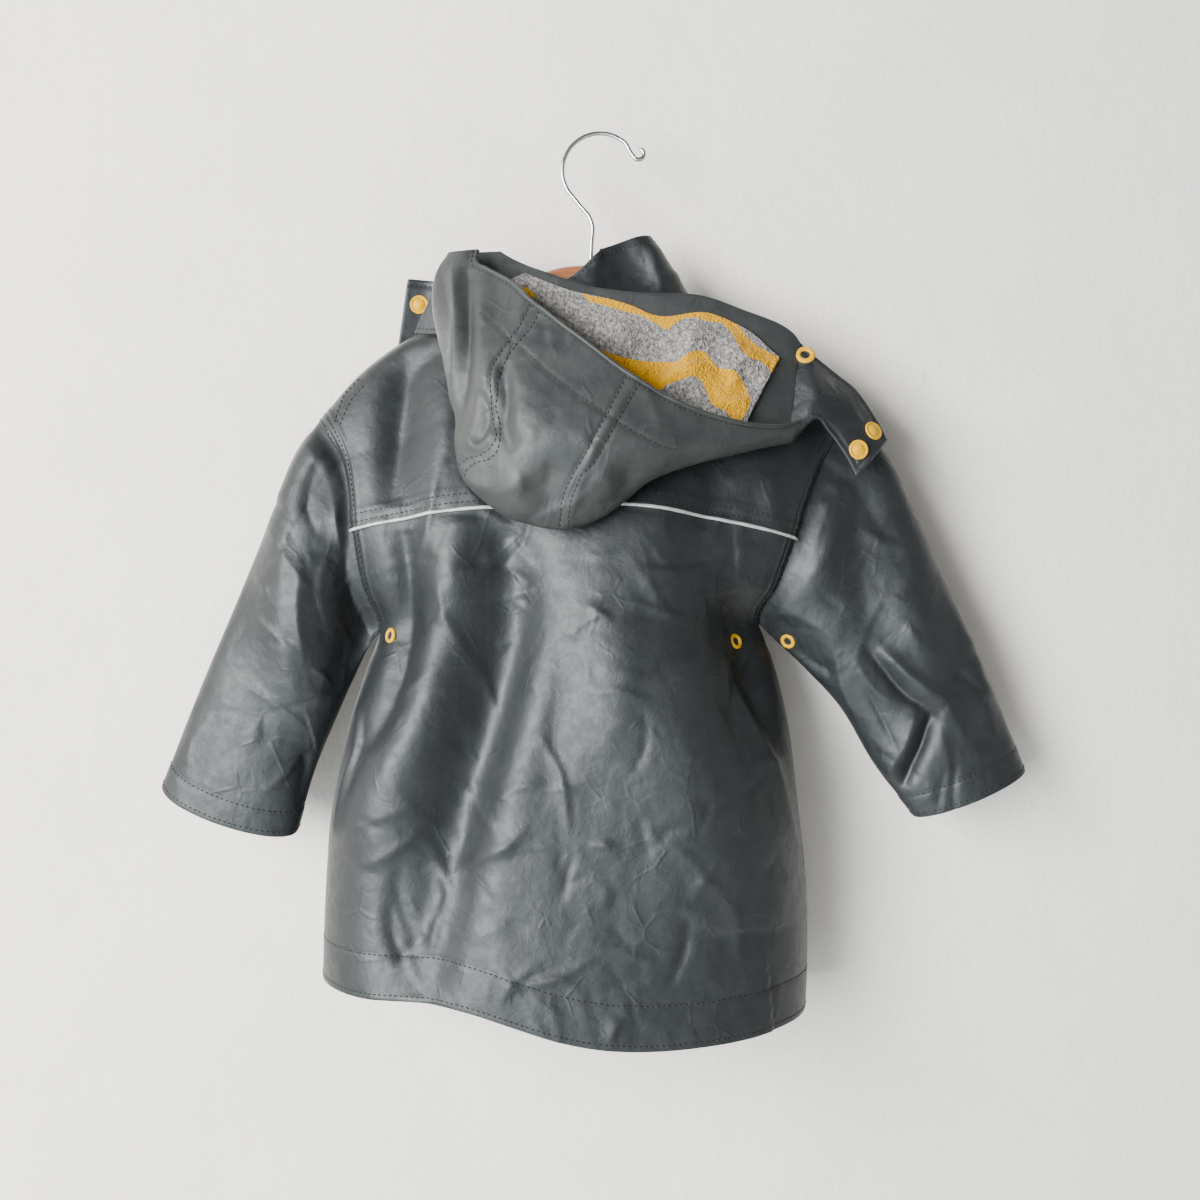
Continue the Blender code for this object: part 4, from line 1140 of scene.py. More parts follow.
@dataclass(frozen=True)
class CoatedCloth:
    """Charcoal cloth with a satin coat: creased, faintly mottled, and dull where it is worn."""

    name: str = "coated_cloth_finish"
    dark: Colour = (0.0062, 0.0076, 0.0096, 1.0)
    light: Colour = (0.0105, 0.0124, 0.0145, 1.0)
    rough: float = 0.5
    rough_spread: float = 0.10
    crinkles_per_metre: float = 66.5
    cells_per_metre: float = 39.9
    crease_depth: float = 0.00115
    grain_per_metre: float = 1500.0

    def make(self) -> Any:
        """Crinkles are bent noise with a few ridges along the edges of cells, over fine grain.

        Returns:
            The material.
        """
        recipe = Recipe(self.name)
        mottle = recipe.noise(38.0, 3.0, 0.6)
        large = recipe.noise(self.crinkles_per_metre, 4.0, 0.6, recipe.warped(55.0, 0.012))
        edges = recipe.cells(self.cells_per_metre, "DISTANCE_TO_EDGE", recipe.warped(22.0, 0.016))
        ridges = (1.0 - edges.step(0.0, 0.07)) * recipe.noise(34.0, 1.0).step(0.5, 0.64)
        crinkle = large * 0.8 + ridges * 0.15
        grain = recipe.noise(self.grain_per_metre, 2.0, 0.6)
        soft = recipe.relief(crinkle, self.crease_depth, 0.75)
        fine = recipe.relief(grain, 0.00007, 0.55, soft)
        wear = recipe.noise(130.0, 4.0, 0.65).step(0.35, 0.75)
        return recipe.finish(
            {
                "Base Color": recipe.blend(mottle.step(0.3, 0.72), self.dark, self.light),
                "Roughness": self.rough + wear * self.rough_spread - mottle * 0.04,
                "Normal": fine,
                "Specular IOR Level": 0.52,
                "Specular Tint": (0.93, 0.98, 1.0, 1.0),
            }
        )


@dataclass(frozen=True)
class Backing:
    """The knitted back of the coated cloth, dull and dark."""

    name: str = "cloth_backing_finish"
    dark: Colour = (0.012, 0.014, 0.016, 1.0)
    light: Colour = (0.026, 0.029, 0.032, 1.0)
    loops_per_metre: float = 900.0

    def make(self) -> Any:
        """Small round loops in cells.

        Returns:
            The material.
        """
        recipe = Recipe(self.name)
        loops = recipe.cells(self.loops_per_metre, "F1")
        return recipe.finish(
            {
                "Base Color": recipe.blend(loops.step(0.1, 0.7), self.light, self.dark),
                "Roughness": 0.9,
                "Normal": recipe.relief(1.0 - loops, 0.0003, 0.6),
            }
        )


@dataclass(frozen=True)
class StripedTerry:
    """Loop-pile lining in heather grey and golden yellow stripes that follow its own map."""

    name: str = "terry_lining_finish"
    grey: Colour = (0.085, 0.082, 0.08, 1.0)
    grey_light: Colour = (0.33, 0.318, 0.312, 1.0)
    yellow: Colour = (0.40, 0.185, 0.0, 1.0)
    yellow_light: Colour = (0.62, 0.325, 0.0, 1.0)
    loops_per_metre: float = 620.0

    def make(self) -> Any:
        """The cloth is golden where the map's second number is above 0.

        Returns:
            The material.
        """
        recipe = Recipe(self.name)
        sheet = recipe.node("ShaderNodeUVMap", {"uv_map": "lining"}, {}, "UV")
        ragged = recipe.noise(700.0, 2.0, 0.6) * 0.0016 - 0.0008
        inside = recipe.node("ShaderNodeSeparateXYZ", {}, {0: sheet}, "Y") + ragged
        golden = inside.step(-0.0003, 0.0003)
        fleck = recipe.noise(1300.0, 2.0, 0.7).step(0.35, 0.7)
        heather = recipe.noise(420.0, 3.0, 0.7).step(0.3, 0.75)
        grey = recipe.blend(heather, self.grey, self.grey_light)
        yellow = recipe.blend(fleck, self.yellow, self.yellow_light)
        loops = recipe.cells(self.loops_per_metre, "F1", recipe.warped(260.0, 0.004))
        pile = recipe.noise(260.0, 3.0, 0.6)
        return recipe.finish(
            {
                "Base Color": recipe.blend(golden, grey, yellow),
                "Roughness": 0.95,
                "Normal": recipe.relief((1.0 - loops) * 0.7 + pile * 0.6, 0.0014, 0.85),
                "Sheen Weight": 0.08,
                "Specular IOR Level": 0.2,
            }
        )


@dataclass(frozen=True)
class MouldedPlastic:
    """Glossy golden-yellow plastic with handling marks."""

    name: str = "yellow_plastic_finish"
    base: Colour = (0.50, 0.262, 0.0, 1.0)
    worn: Colour = (0.60, 0.33, 0.0, 1.0)

    def make(self) -> Any:
        """Colour and gloss shift with soft noise; fine scratches come from stretched noise.

        Returns:
            The material.
        """
        recipe = Recipe(self.name)
        cloud = recipe.noise(320.0, 3.0, 0.6)
        scratch = recipe.noise(900.0, 2.0, 0.6, recipe.stretched(0.2, 1.0, 1.6))
        return recipe.finish(
            {
                "Base Color": recipe.blend(cloud.step(0.35, 0.7), self.base, self.worn),
                "Roughness": 0.34 + scratch * 0.18,
                "Normal": recipe.relief(scratch, 0.00004, 0.4),
                "Specular IOR Level": 0.3,
            }
        )


@dataclass(frozen=True)
class ReflectivePiping:
    """Silver-grey piping with a fine beaded face."""

    name: str = "reflective_piping_finish"
    base: Colour = (0.33, 0.34, 0.35, 1.0)
    bright: Colour = (0.52, 0.53, 0.54, 1.0)

    def make(self) -> Any:
        """Beads are cells a quarter of a millimetre wide.

        Returns:
            The material.
        """
        recipe = Recipe(self.name)
        beads = recipe.cells(3800.0, "F1")
        soil = recipe.noise(160.0, 3.0, 0.6)
        return recipe.finish(
            {
                "Base Color": recipe.blend(soil.step(0.3, 0.75), self.base, self.bright),
                "Roughness": 0.42 + soil * 0.15,
                "Normal": recipe.relief(1.0 - beads, 0.00005, 0.5),
                "Metallic": 0.35,
            }
        )


@dataclass(frozen=True)
class StainedWood:
    """Reddish-brown lacquered wood whose grain runs along the bar."""

    name: str = "hanger_wood_finish"
    dark: Colour = (0.16, 0.052, 0.022, 1.0)
    light: Colour = (0.36, 0.135, 0.055, 1.0)

    def make(self) -> Any:
        """Grain is noise stretched along the bar, with darker pores.

        Returns:
            The material.
        """
        recipe = Recipe(self.name)
        grain = recipe.noise(60.0, 5.0, 0.6, recipe.stretched(0.35, 5.0, 5.0))
        pores = recipe.noise(420.0, 2.0, 0.5, recipe.stretched(0.08, 2.0, 2.0)).step(0.5, 0.72)
        tone = recipe.blend(grain.step(0.3, 0.7), self.dark, self.light)
        return recipe.finish(
            {
                "Base Color": recipe.blend(pores * 0.55, tone, self.dark),
                "Roughness": 0.33 + grain * 0.2,
                "Normal": recipe.relief(grain - pores * 0.4, 0.00025, 0.5),
                "Coat Weight": 0.35,
                "Coat Roughness": 0.2,
            }
        )


@dataclass(frozen=True)
class PlatedWire:
    """Chrome-plated wire, faintly brushed by the rods it has hung on."""

    name: str = "hook_wire_finish"
    bright: Colour = (0.66, 0.66, 0.67, 1.0)
    dull: Colour = (0.42, 0.42, 0.43, 1.0)

    def make(self) -> Any:
        """Dull patches come from noise.

        Returns:
            The material.
        """
        recipe = Recipe(self.name)
        patch = recipe.noise(180.0, 4.0, 0.65).step(0.45, 0.75)
        return recipe.finish(
            {
                "Base Color": recipe.blend(patch, self.bright, self.dull),
                "Roughness": 0.16 + patch * 0.2,
                "Metallic": 1.0,
                "Normal": recipe.relief(recipe.noise(1400.0, 2.0), 0.00003, 0.4),
            }
        )


@dataclass(frozen=True)
class SewingThread:
    """Dark polyester thread, twisted."""

    name: str = "sewing_thread_finish"
    dark: Colour = (0.0015, 0.0018, 0.0022, 1.0)
    light: Colour = (0.008, 0.009, 0.011, 1.0)

    def make(self) -> Any:
        """Twist shows as fine light flecks.

        Returns:
            The material.
        """
        recipe = Recipe(self.name)
        twist = recipe.noise(2600.0, 1.0)
        return recipe.finish(
            {
                "Base Color": recipe.blend(twist.step(0.4, 0.65), self.dark, self.light),
                "Roughness": 0.6,
                "Normal": recipe.relief(twist, 0.00008, 0.5),
            }
        )


@dataclass(frozen=True)
class DarkCup:
    """The shaded inside of an eyelet."""

    name: str = "eyelet_inside_finish"
    dark: Colour = (0.02, 0.014, 0.006, 1.0)
    light: Colour = (0.05, 0.034, 0.012, 1.0)

    def make(self) -> Any:
        """Soft noise between two dark tones.

        Returns:
            The material.
        """
        recipe = Recipe(self.name)
        cloud = recipe.noise(800.0)
        return recipe.finish({"Base Color": recipe.blend(cloud, self.dark, self.light), "Roughness": 0.8})


@dataclass(frozen=True)
class Plaster:
    """Painted plaster with a faint trowelled face, clear from behind; its colour is lighter on the left and
    darker on the right, painted light as from the window side.
    """

    name: str = "room_wall_finish"
    # painted light: left is the lit, lighter end of the wall and right the darker end
    left: Colour = (0.83, 0.79, 0.72, 1.0)
    right: Colour = (0.72, 0.70, 0.69, 1.0)
    soiled: Colour = (0.30, 0.30, 0.28, 1.0)

    def make(self) -> Any:
        """The colour passes from the lighter left to the darker right, a painted light falloff; the face is
        soft noise.

        Returns:
            The material.
        """
        recipe = Recipe(self.name)
        # painted light falloff across the wall, from the lit left to the darker right
        across = recipe.node("ShaderNodeSeparateXYZ", {}, {0: recipe.place}, "X").step(-0.7, 0.7)
        cloud = recipe.noise(9.0, 2.0, 0.6)
        tone = recipe.blend(across, self.left, self.right)
        shade = recipe.blend(cloud.step(0.3, 0.75) * 0.10, tone, self.soiled)
        fine = recipe.noise(260.0, 2.0, 0.6) * 0.7 + recipe.noise(55.0, 1.0, 0.6)
        recipe.clear_from_behind()
        face = recipe.relief(fine, 0.0014, 0.5)
        return recipe.finish({"Base Color": shade, "Roughness": 0.85, "Normal": face})


@dataclass(frozen=True)
class StudioPaper:
    """Plain matte paper, clear from behind."""

    name: str
    colour: Colour

    def make(self) -> Any:
        """One colour all over.

        Returns:
            The material.
        """
        recipe = Recipe(self.name)
        recipe.clear_from_behind()
        return recipe.finish({"Base Color": self.colour, "Roughness": 0.9, "Specular IOR Level": 0.2})


@dataclass(frozen=True)
class Finishes:
    """The materials, made once and shared."""

    cloth: Any
    # the body's cloth in lighter colours: painted light that brightens the hood
    hood: Any
    backing: Any
    terry: Any
    plastic: Any
    piping: Any
    wood: Any
    wire: Any
    thread: Any
    cup: Any

    @classmethod
    def make(cls) -> "Finishes":
        """Every finish of the coat and its hanger.

        Returns:
            All of them.
        """
        recipes = (
            CoatedCloth(),
            # The hood's copy is rougher, and its colours are lighter than the body's: painted light on the
            # same cloth.
            CoatedCloth("hood_cloth_painted_light_finish", (0.016, 0.0178, 0.019, 1.0), (0.026, 0.0282, 0.029, 1.0), 0.56),
            Backing(),
            StripedTerry(),
            MouldedPlastic(),
            ReflectivePiping(),
            StainedWood(),
            PlatedWire(),
            SewingThread(),
            DarkCup(),
        )
        return cls(*(recipe.make() for recipe in recipes))


# ---------------------------------------------------------------- creases and sewn lines

# Lines as the eye sees them against the hanger's plane: (x, z) of a few points each.
BACK_CREASES = (
    Crease(24, 26, 14, 1.9, (
        (-90, -247), (-95, -286), (-101, -318), (-114, -367), (-138, -416), (-162, -471),
    )),
    Crease(26, 22, -19, 2, (
        (-62, -253), (-59, -315), (-72, -367), (-88, -419), (-103, -477), (-112, -516), (-117, -562),
    )),
    Crease(9, 15, -12, 1.7, ((-129, -256), (-126, -295), (-126, -328), (-134, -367), (-150, -401))),
    Crease(16, 30, 3, 1.9, ((-31, -276), (-39, -328), (-46, -367), (-60, -419), (-78, -477))),
    Crease(66, 34, 17, 2, (
        (21, -217), (31, -260), (42, -315), (58, -367), (81, -419), (99, -477), (104, -516),
    )),
    Crease(30, 14, -9, 1.8, ((90, -295), (94, -354), (101, -406))),
    Crease(9, 5, 5, 1.4, ((84, -331), (86, -355), (96, -376), (108, -407), (127, -471))),
    Crease(12, 12, -2, 2, ((-22, -328), (-27, -380), (-42, -425))),
    Crease(16, 16, 3, 2, ((4, -302), (8, -354), (4, -406))),
    Crease(4, 5, 2, 1.4, ((-104, -485), (-84, -472), (-62, -463), (-49, -451))),
    Crease(6, 7, -2.5, 1.5, ((-131, -471), (-135, -490), (-131, -510), (-124, -529))),
    Crease(6, 8, 3.5, 1.4, ((-114, -472), (-104, -494), (-110, -516), (-116, -537))),
    Crease(5, 6, -3, 1.4, ((-140, -500), (-138, -523), (-131, -541))),
    Crease(3, 3, 3, 1.4, ((-158, -367), (-157, -394), (-165, -425), (-171, -454))),
    Crease(3, 3, -3, 1.4, ((-153, -377), (-155, -401), (-161, -427))),
)
YOKE_CREASES = (
    Crease(12, 16, -10, 1.7, ((-125, -136), (-133, -191), (-138, -240))),
    Crease(14, 16, 5, 1.8, ((-101, -162), (-100, -204), (-110, -240))),
    Crease(7, 7, -3, 1.6, ((-90, -133), (-109, -141), (-127, -148), (-140, -156))),
    Crease(9, 9, 3.5, 1.7, ((114, -217), (112, -238), (116, -259))),
    Crease(14, 14, -4, 1.8, ((65, -198), (75, -224), (65, -256))),
    Crease(5.1, 5.1, 1.12, 1.25, ((-162, -167), (-148, -148), (-129, -138))),
)
SLEEVE_LEFT_CREASES = (
    Crease(16, 40, 9, 1.7, (
        (-178, -193), (-194, -237), (-202, -276), (-203, -315), (-202, -342), (-194, -368),
    )),
    Crease(36, 14, -9, 1.8, ((-140, -217), (-147, -276), (-152, -328), (-161, -367))),
    Crease(5, 6, 3, 1.4, ((-166, -232), (-170, -250), (-169, -268))),
    Crease(8, 10, -5, 1.6, ((-192, -401), (-188, -425), (-186, -445))),
    Crease(14, 14, -2.4, 1.8, ((-216, -250), (-230, -302), (-238, -342))),
    Crease(4, 5, 2, 1.35, ((-191, -276), (-195, -308), (-192, -341))),
    Crease(4.2, 5.1, -1.57, 1.25, ((-182, -215), (-189, -239), (-183, -259))),
)
SLEEVE_RIGHT_CREASES = (
    Crease(18, 16, -4.5, 1.8, ((166, -221), (170, -276), (176, -315), (186, -342))),
    Crease(12, 14, 4.5, 1.7, ((157, -224), (148, -263), (134, -293), (116, -310))),
    Crease(14, 14, 4, 1.8, ((203, -276), (207, -315), (218, -347), (228, -380))),
    Crease(10, 8, 3, 1.6, ((231, -302), (244, -341), (254, -380))),
    Crease(3.5, 4, -4.5, 1.3, ((174, -334), (185, -348), (197, -362), (211, -372), (220, -380))),
    Crease(6, 6, 4, 1.4, ((182, -333), (195, -346), (209, -358), (224, -368))),
    Crease(5, 4, -8, 1.3, ((216, -377), (211, -394), (203, -410), (196, -423))),
    Crease(9, 4, 4, 1.35, ((205, -377), (200, -394), (192, -407), (186, -418))),
    Crease(8, 8, -3, 1.6, ((124, -334), (138, -343), (151, -351))),
    Crease(4.2, 3.4, 1.5, 1.25, ((209, -377), (203, -394), (196, -407), (190, -418))),
    Crease(2.5, 2.5, -1.25, 1.25, ((173, -359), (182, -377), (190, -393), (196, -404))),
    Crease(3.4, 3.4, 1.25, 1.25, ((167, -342), (177, -359), (187, -367), (194, -369))),
    Crease(5.1, 5.1, 1.5, 1.25, ((107, -313), (124, -310), (140, -318), (157, -328))),
    Crease(4.2, 4.2, 1, 1.25, ((250, -378), (259, -395), (254, -407))),
)
HOOD_CREASES = (
    Crease(4, 7, -4, 1.4, ((-64, -147), (-62, -172), (-63, -191), (-58, -206))),
    Crease(5, 12, 2, 1.6, ((-55, -148), (-53, -172), (-53, -193))),
    Crease(4, 5, -4, 1.35, ((-81, -202), (-75, -191), (-74, -180), (-77, -167))),
    Crease(3.5, 4, 3, 1.35, ((-87, -195), (-81, -202), (-73, -198), (-71, -190))),
    Crease(5, 6, -5, 1.45, ((-86, -87), (-86, -113), (-87, -139), (-90, -165), (-92, -193))),
    Crease(7, 8, 2.5, 1.6, ((-77, -94), (-78, -120), (-77, -146), (-75, -167))),
    Crease(4, 5, 3.5, 1.5, ((-96, -86), (-94, -113), (-94, -139), (-96, -172), (-98, -200))),
    Crease(5, 6, 2.4, 1.4, ((-90, -212), (-84, -224), (-70, -230))),
    Crease(12, 12, -4, 1.8, ((-31, -212), (-35, -228), (-29, -243))),
    Crease(12, 10, 2.5, 1.7, ((-52, -215), (-57, -234), (-44, -247))),
    Crease(10, 10, 3.5, 1.7, ((-3, -220), (6, -226), (8, -238))),
    Crease(10, 12, -4, 1.8, ((21, -215), (17, -230), (4, -245))),
    Crease(4.2, 4.2, -1.08, 1.25, ((-103, -91), (-99, -110), (-94, -126))),
)
LINING_CREASES = (
    Crease(3, 14, 5, 1.6, ((63, -120), (58, -132), (55, -146))),
    Crease(2.5, 12, 4, 1.6, ((58, -142), (52, -148), (42, -161))),
    Crease(14, 2.5, 4.5, 1.6, ((40, -162), (53, -154), (65, -150), (77, -150))),
    Crease(3, 10, 3, 1.6, ((77, -151), (84, -154), (90, -161))),
    Crease(5, 3, 2.5, 1.5, ((73, -176), (84, -174), (98, -173))),
    Crease(8, 8, -4, 1.7, ((44, -121), (39, -130), (30, -139))),
    Crease(10, 10, 3, 1.8, ((0, -115), (10, -124), (26, -129))),
    Crease(8, 8, -2.5, 1.7, ((13, -141), (29, -143), (44, -141))),
    Crease(9, 9, 3.5, 1.7, ((82, -126), (90, -141), (101, -155))),
    Crease(7, 7, -3, 1.7, ((90, -150), (98, -159), (103, -167))),
    Crease(5, 5, 1.6, 1.5, ((-6, -107), (-10, -119), (-6, -130))),
)
# Outlines of the lining's golden stripes as they lie in its folds.
GOLDEN_PATCHES = (
    (
        (-18.9, -96.4), (-13, -97.7), (-6.5, -104.2), (0, -104.9), (13, -107.5), (26, -110),
        (35.8, -114), (43.6, -117.9), (52, -115.3), (58.5, -112.6), (65, -110.7), (72.8, -111.4),
        (79.3, -114), (85.8, -117.9), (92.3, -126.3), (97.5, -132.8), (102.7, -136.7), (109.2, -140.6),
        (115.7, -143.9), (120.9, -147.8), (116.4, -153.6), (113.1, -157.5), (109.2, -150.4), (104, -146.4),
        (97.5, -144.5), (93.6, -141.2), (89.7, -135.4), (85.2, -127.6), (79.3, -121.8), (68.9, -120.5),
        (62.4, -117.9), (57.2, -118.5), (52, -119.8), (47.5, -123), (43.6, -127), (37.1, -122.4),
        (27.3, -117.2), (13, -113.3), (0, -109.4), (-6.5, -108.1), (-12.3, -102.3),
    ),
    (
        (-2.6, -136.7), (3.9, -140.6), (14.3, -143.9), (26, -146.4), (39, -147.1), (50.7, -147.1),
        (53.3, -143.9), (58.5, -140.6), (63.1, -139.3), (68.2, -140.6), (72.8, -145.8), (76.7, -151),
        (87.8, -152.3), (91.7, -157.5), (94.9, -164), (98.2, -172.5), (96.2, -178.3), (89, -188.7),
        (85.2, -183.5), (81.2, -178.3), (74.8, -176.4), (72.2, -173.8), (70.2, -168.6), (67, -161.4),
        (63.7, -156.9), (58.5, -156.2), (52, -158.8), (44.2, -161.4), (35.8, -167.9), (6.5, -155.6),
    ),
    (
        (-45.5, -83.4), (-38.4, -82.8), (-31.9, -86), (-29.9, -92.5), (-33.1, -91.2), (-37.1, -87.3),
        (-42.2, -86),
    ),
    ((-52, -97.7), (-45.5, -100.3), (-41.6, -104.2), (-45.5, -106.8), (-53.3, -101.6)),
    (
        (-65, -126.3), (-35.8, -153.6), (0, -179.6), (39, -201.7), (74.8, -212.1), (83.2, -201.7),
        (44.2, -187.4), (7.8, -164), (-26, -139.3), (-55.2, -112),
    ),
)
COLLAR_CREASES = (
    Crease(20, 20, -5, 1.8, ((10, -72), (18, -86), (26, -102))),
    Crease(5, 8, 3, 1.5, ((34, -72), (36, -86), (42, -102))),
)
HOOD_SEAM_LEFT_NEAR = (
    (-44.9, -108.8), (-47.5, -114.6), (-52, -123), (-57.9, -131.5), (-65, -141.2), (-70.2, -151),
    (-71.5, -160.1), (-70.9, -168.6), (-70.2, -178.3), (-68.9, -188.1), (-67.6, -195.9), (-72.2, -203),
    (-78, -207.6), (-85.8, -209.5), (-91.7, -214.1),
)
HOOD_SEAM_LEFT_FAR = (
    (-39, -109.4), (-41.6, -118.5), (-45.5, -125), (-52, -132.8), (-58.5, -140.6), (-63.1, -149.7),
    (-66.3, -158.8), (-67, -168.6), (-67.6, -177), (-65.7, -184.8), (-65, -194.6), (-67, -204.3),
    (-72.8, -210.2), (-79.3, -212.1), (-85.8, -216), (-88.4, -221.9),
)
HOOD_SEAM_RIGHT_NEAR = (
    (17.6, -156.2), (11.1, -167.9), (5.2, -179.6), (-1.3, -191.3), (-7.2, -202.4), (-13, -212.1),
    (-18.2, -221.2), (-22.8, -230.3), (-25.4, -240.1), (-26, -254.4),
)
HOOD_SEAM_RIGHT_FAR = (
    (26, -160.1), (18.9, -171.8), (10.4, -186.1), (2.6, -200.4), (-5.9, -214.7), (-11.1, -219.2),
    (-15.6, -228.4), (-19.5, -240.1), (-20.8, -255),
)
HOOD_FACING = (
    (-78.7, -114.6), (-68.2, -123), (-58.5, -132.8), (-52, -138), (-42.2, -145.8), (-32.5, -155.6),
    (-26, -160.1), (-16.2, -167.2), (-6.5, -173.8), (3.9, -180.9), (13, -186.8), (22.8, -192.6),
    (32.5, -197.8), (42.2, -202.4), (50.1, -204.3),
)
FLAP_LOOP = (
    (128.7, -147.8), (132.6, -154.9), (137.2, -161.4), (145.6, -167.9), (153.4, -172.5), (154.7, -175.1),
    (151.5, -176.4), (145.6, -175.7), (140.4, -173.8),
)
FLAP_CURVE = (
    (102.7, -184.2), (110.5, -178.3), (118.3, -172.5), (123.5, -168.6), (128.7, -165.9), (132.6, -165.9),
    (136.5, -167.2),
)
SHOULDER_STITCHES = (
    ((-172.9, -187.4), (-170.3, -178.3), (-165.8, -167.9), (-156, -157.5)),
    ((-169, -188.7), (-165.8, -179.6), (-161.8, -171.8), (-153.4, -162.1)),
)
FRONT_CREASES = (
    Crease(16, 22, 5, 1.8, ((-98, -215), (-84, -300), (-88, -400), (-100, -500))),
    Crease(18, 18, -7, 1.8, ((-60, -240), (-54, -330), (-62, -430))),
    Crease(20, 26, 5.5, 1.9, ((62, -230), (56, -330), (68, -430), (80, -520))),
    Crease(14, 16, -6, 1.8, ((90, -260), (86, -340), (98, -430))),
    Crease(8, 10, -3.5, 1.5, ((-128, -322), (-100, -346), (-70, -352))),
    Crease(8, 9, 3, 1.4, ((44, -296), (66, -318), (96, -322))),
    Crease(6, 7, 2.4, 1.4, ((-84, -436), (-66, -470), (-54, -505))),
    Crease(7, 6, -2.6, 1.4, ((38, -416), (56, -446), (64, -488))),
    Crease(10, 12, 4, 1.7, ((-120, -180), (-96, -220), (-88, -270))),
    Crease(9, 12, -4, 1.7, ((112, -178), (92, -216), (84, -262))),
    Crease(5, 6, 2, 1.4, ((-112, -410), (-92, -440), (-90, -478))),
    Crease(5, 6, -2, 1.4, ((88, -380), (74, -410), (76, -450))),
)

# Rows of stitches sink into the cloth, and felled seams stand out beside them.
STITCHED_ON_HOOD = (
    HOOD_SEAM_LEFT_NEAR, HOOD_SEAM_LEFT_FAR, HOOD_SEAM_RIGHT_NEAR, HOOD_SEAM_RIGHT_FAR, HOOD_FACING,
)
HOOD_BANDS = (
    *(Crease(1.1, 1.1, -0.7, 2, line) for line in STITCHED_ON_HOOD),
    Crease(3.2, 3.2, 1.1, 2.4, ((22, -160), (7, -185), (-9, -215), (-18, -240), (-22, -256))),
)

# The flat cut of each piece of cloth, seam allowances left out.
YOKE_CUT = FlatCut(352.0, 168.0, 44500.0)
PANEL_CUT = FlatCut(400.0, 335.0, 115000.0)
LEFT_CUT = FlatCut(225.0, 430.0, 74000.0)
RIGHT_CUT = FlatCut(230.0, 430.0, 76000.0)
SLEEVE_CUT = FlatCut(250.0, 275.0, 50000.0)
HOOD_LEFT_CUT = FlatCut(160.0, 180.0, 14500.0)
HOOD_CENTRE_CUT = FlatCut(95.0, 265.0, 20500.0)
HOOD_RIGHT_CUT = FlatCut(165.0, 180.0, 17800.0)
LINING_CUT = FlatCut(245.0, 185.0, 33000.0)
FLAP_CUT = FlatCut(82.0, 55.0, 3250.0)
TAB_CUT = FlatCut(55.0, 52.0, 1900.0)
LAP_CUT = FlatCut(38.0, 38.0, 1200.0)
COLLAR_CUT = FlatCut(330.0, 46.0, 10200.0)


# ---------------------------------------------------------------- the body


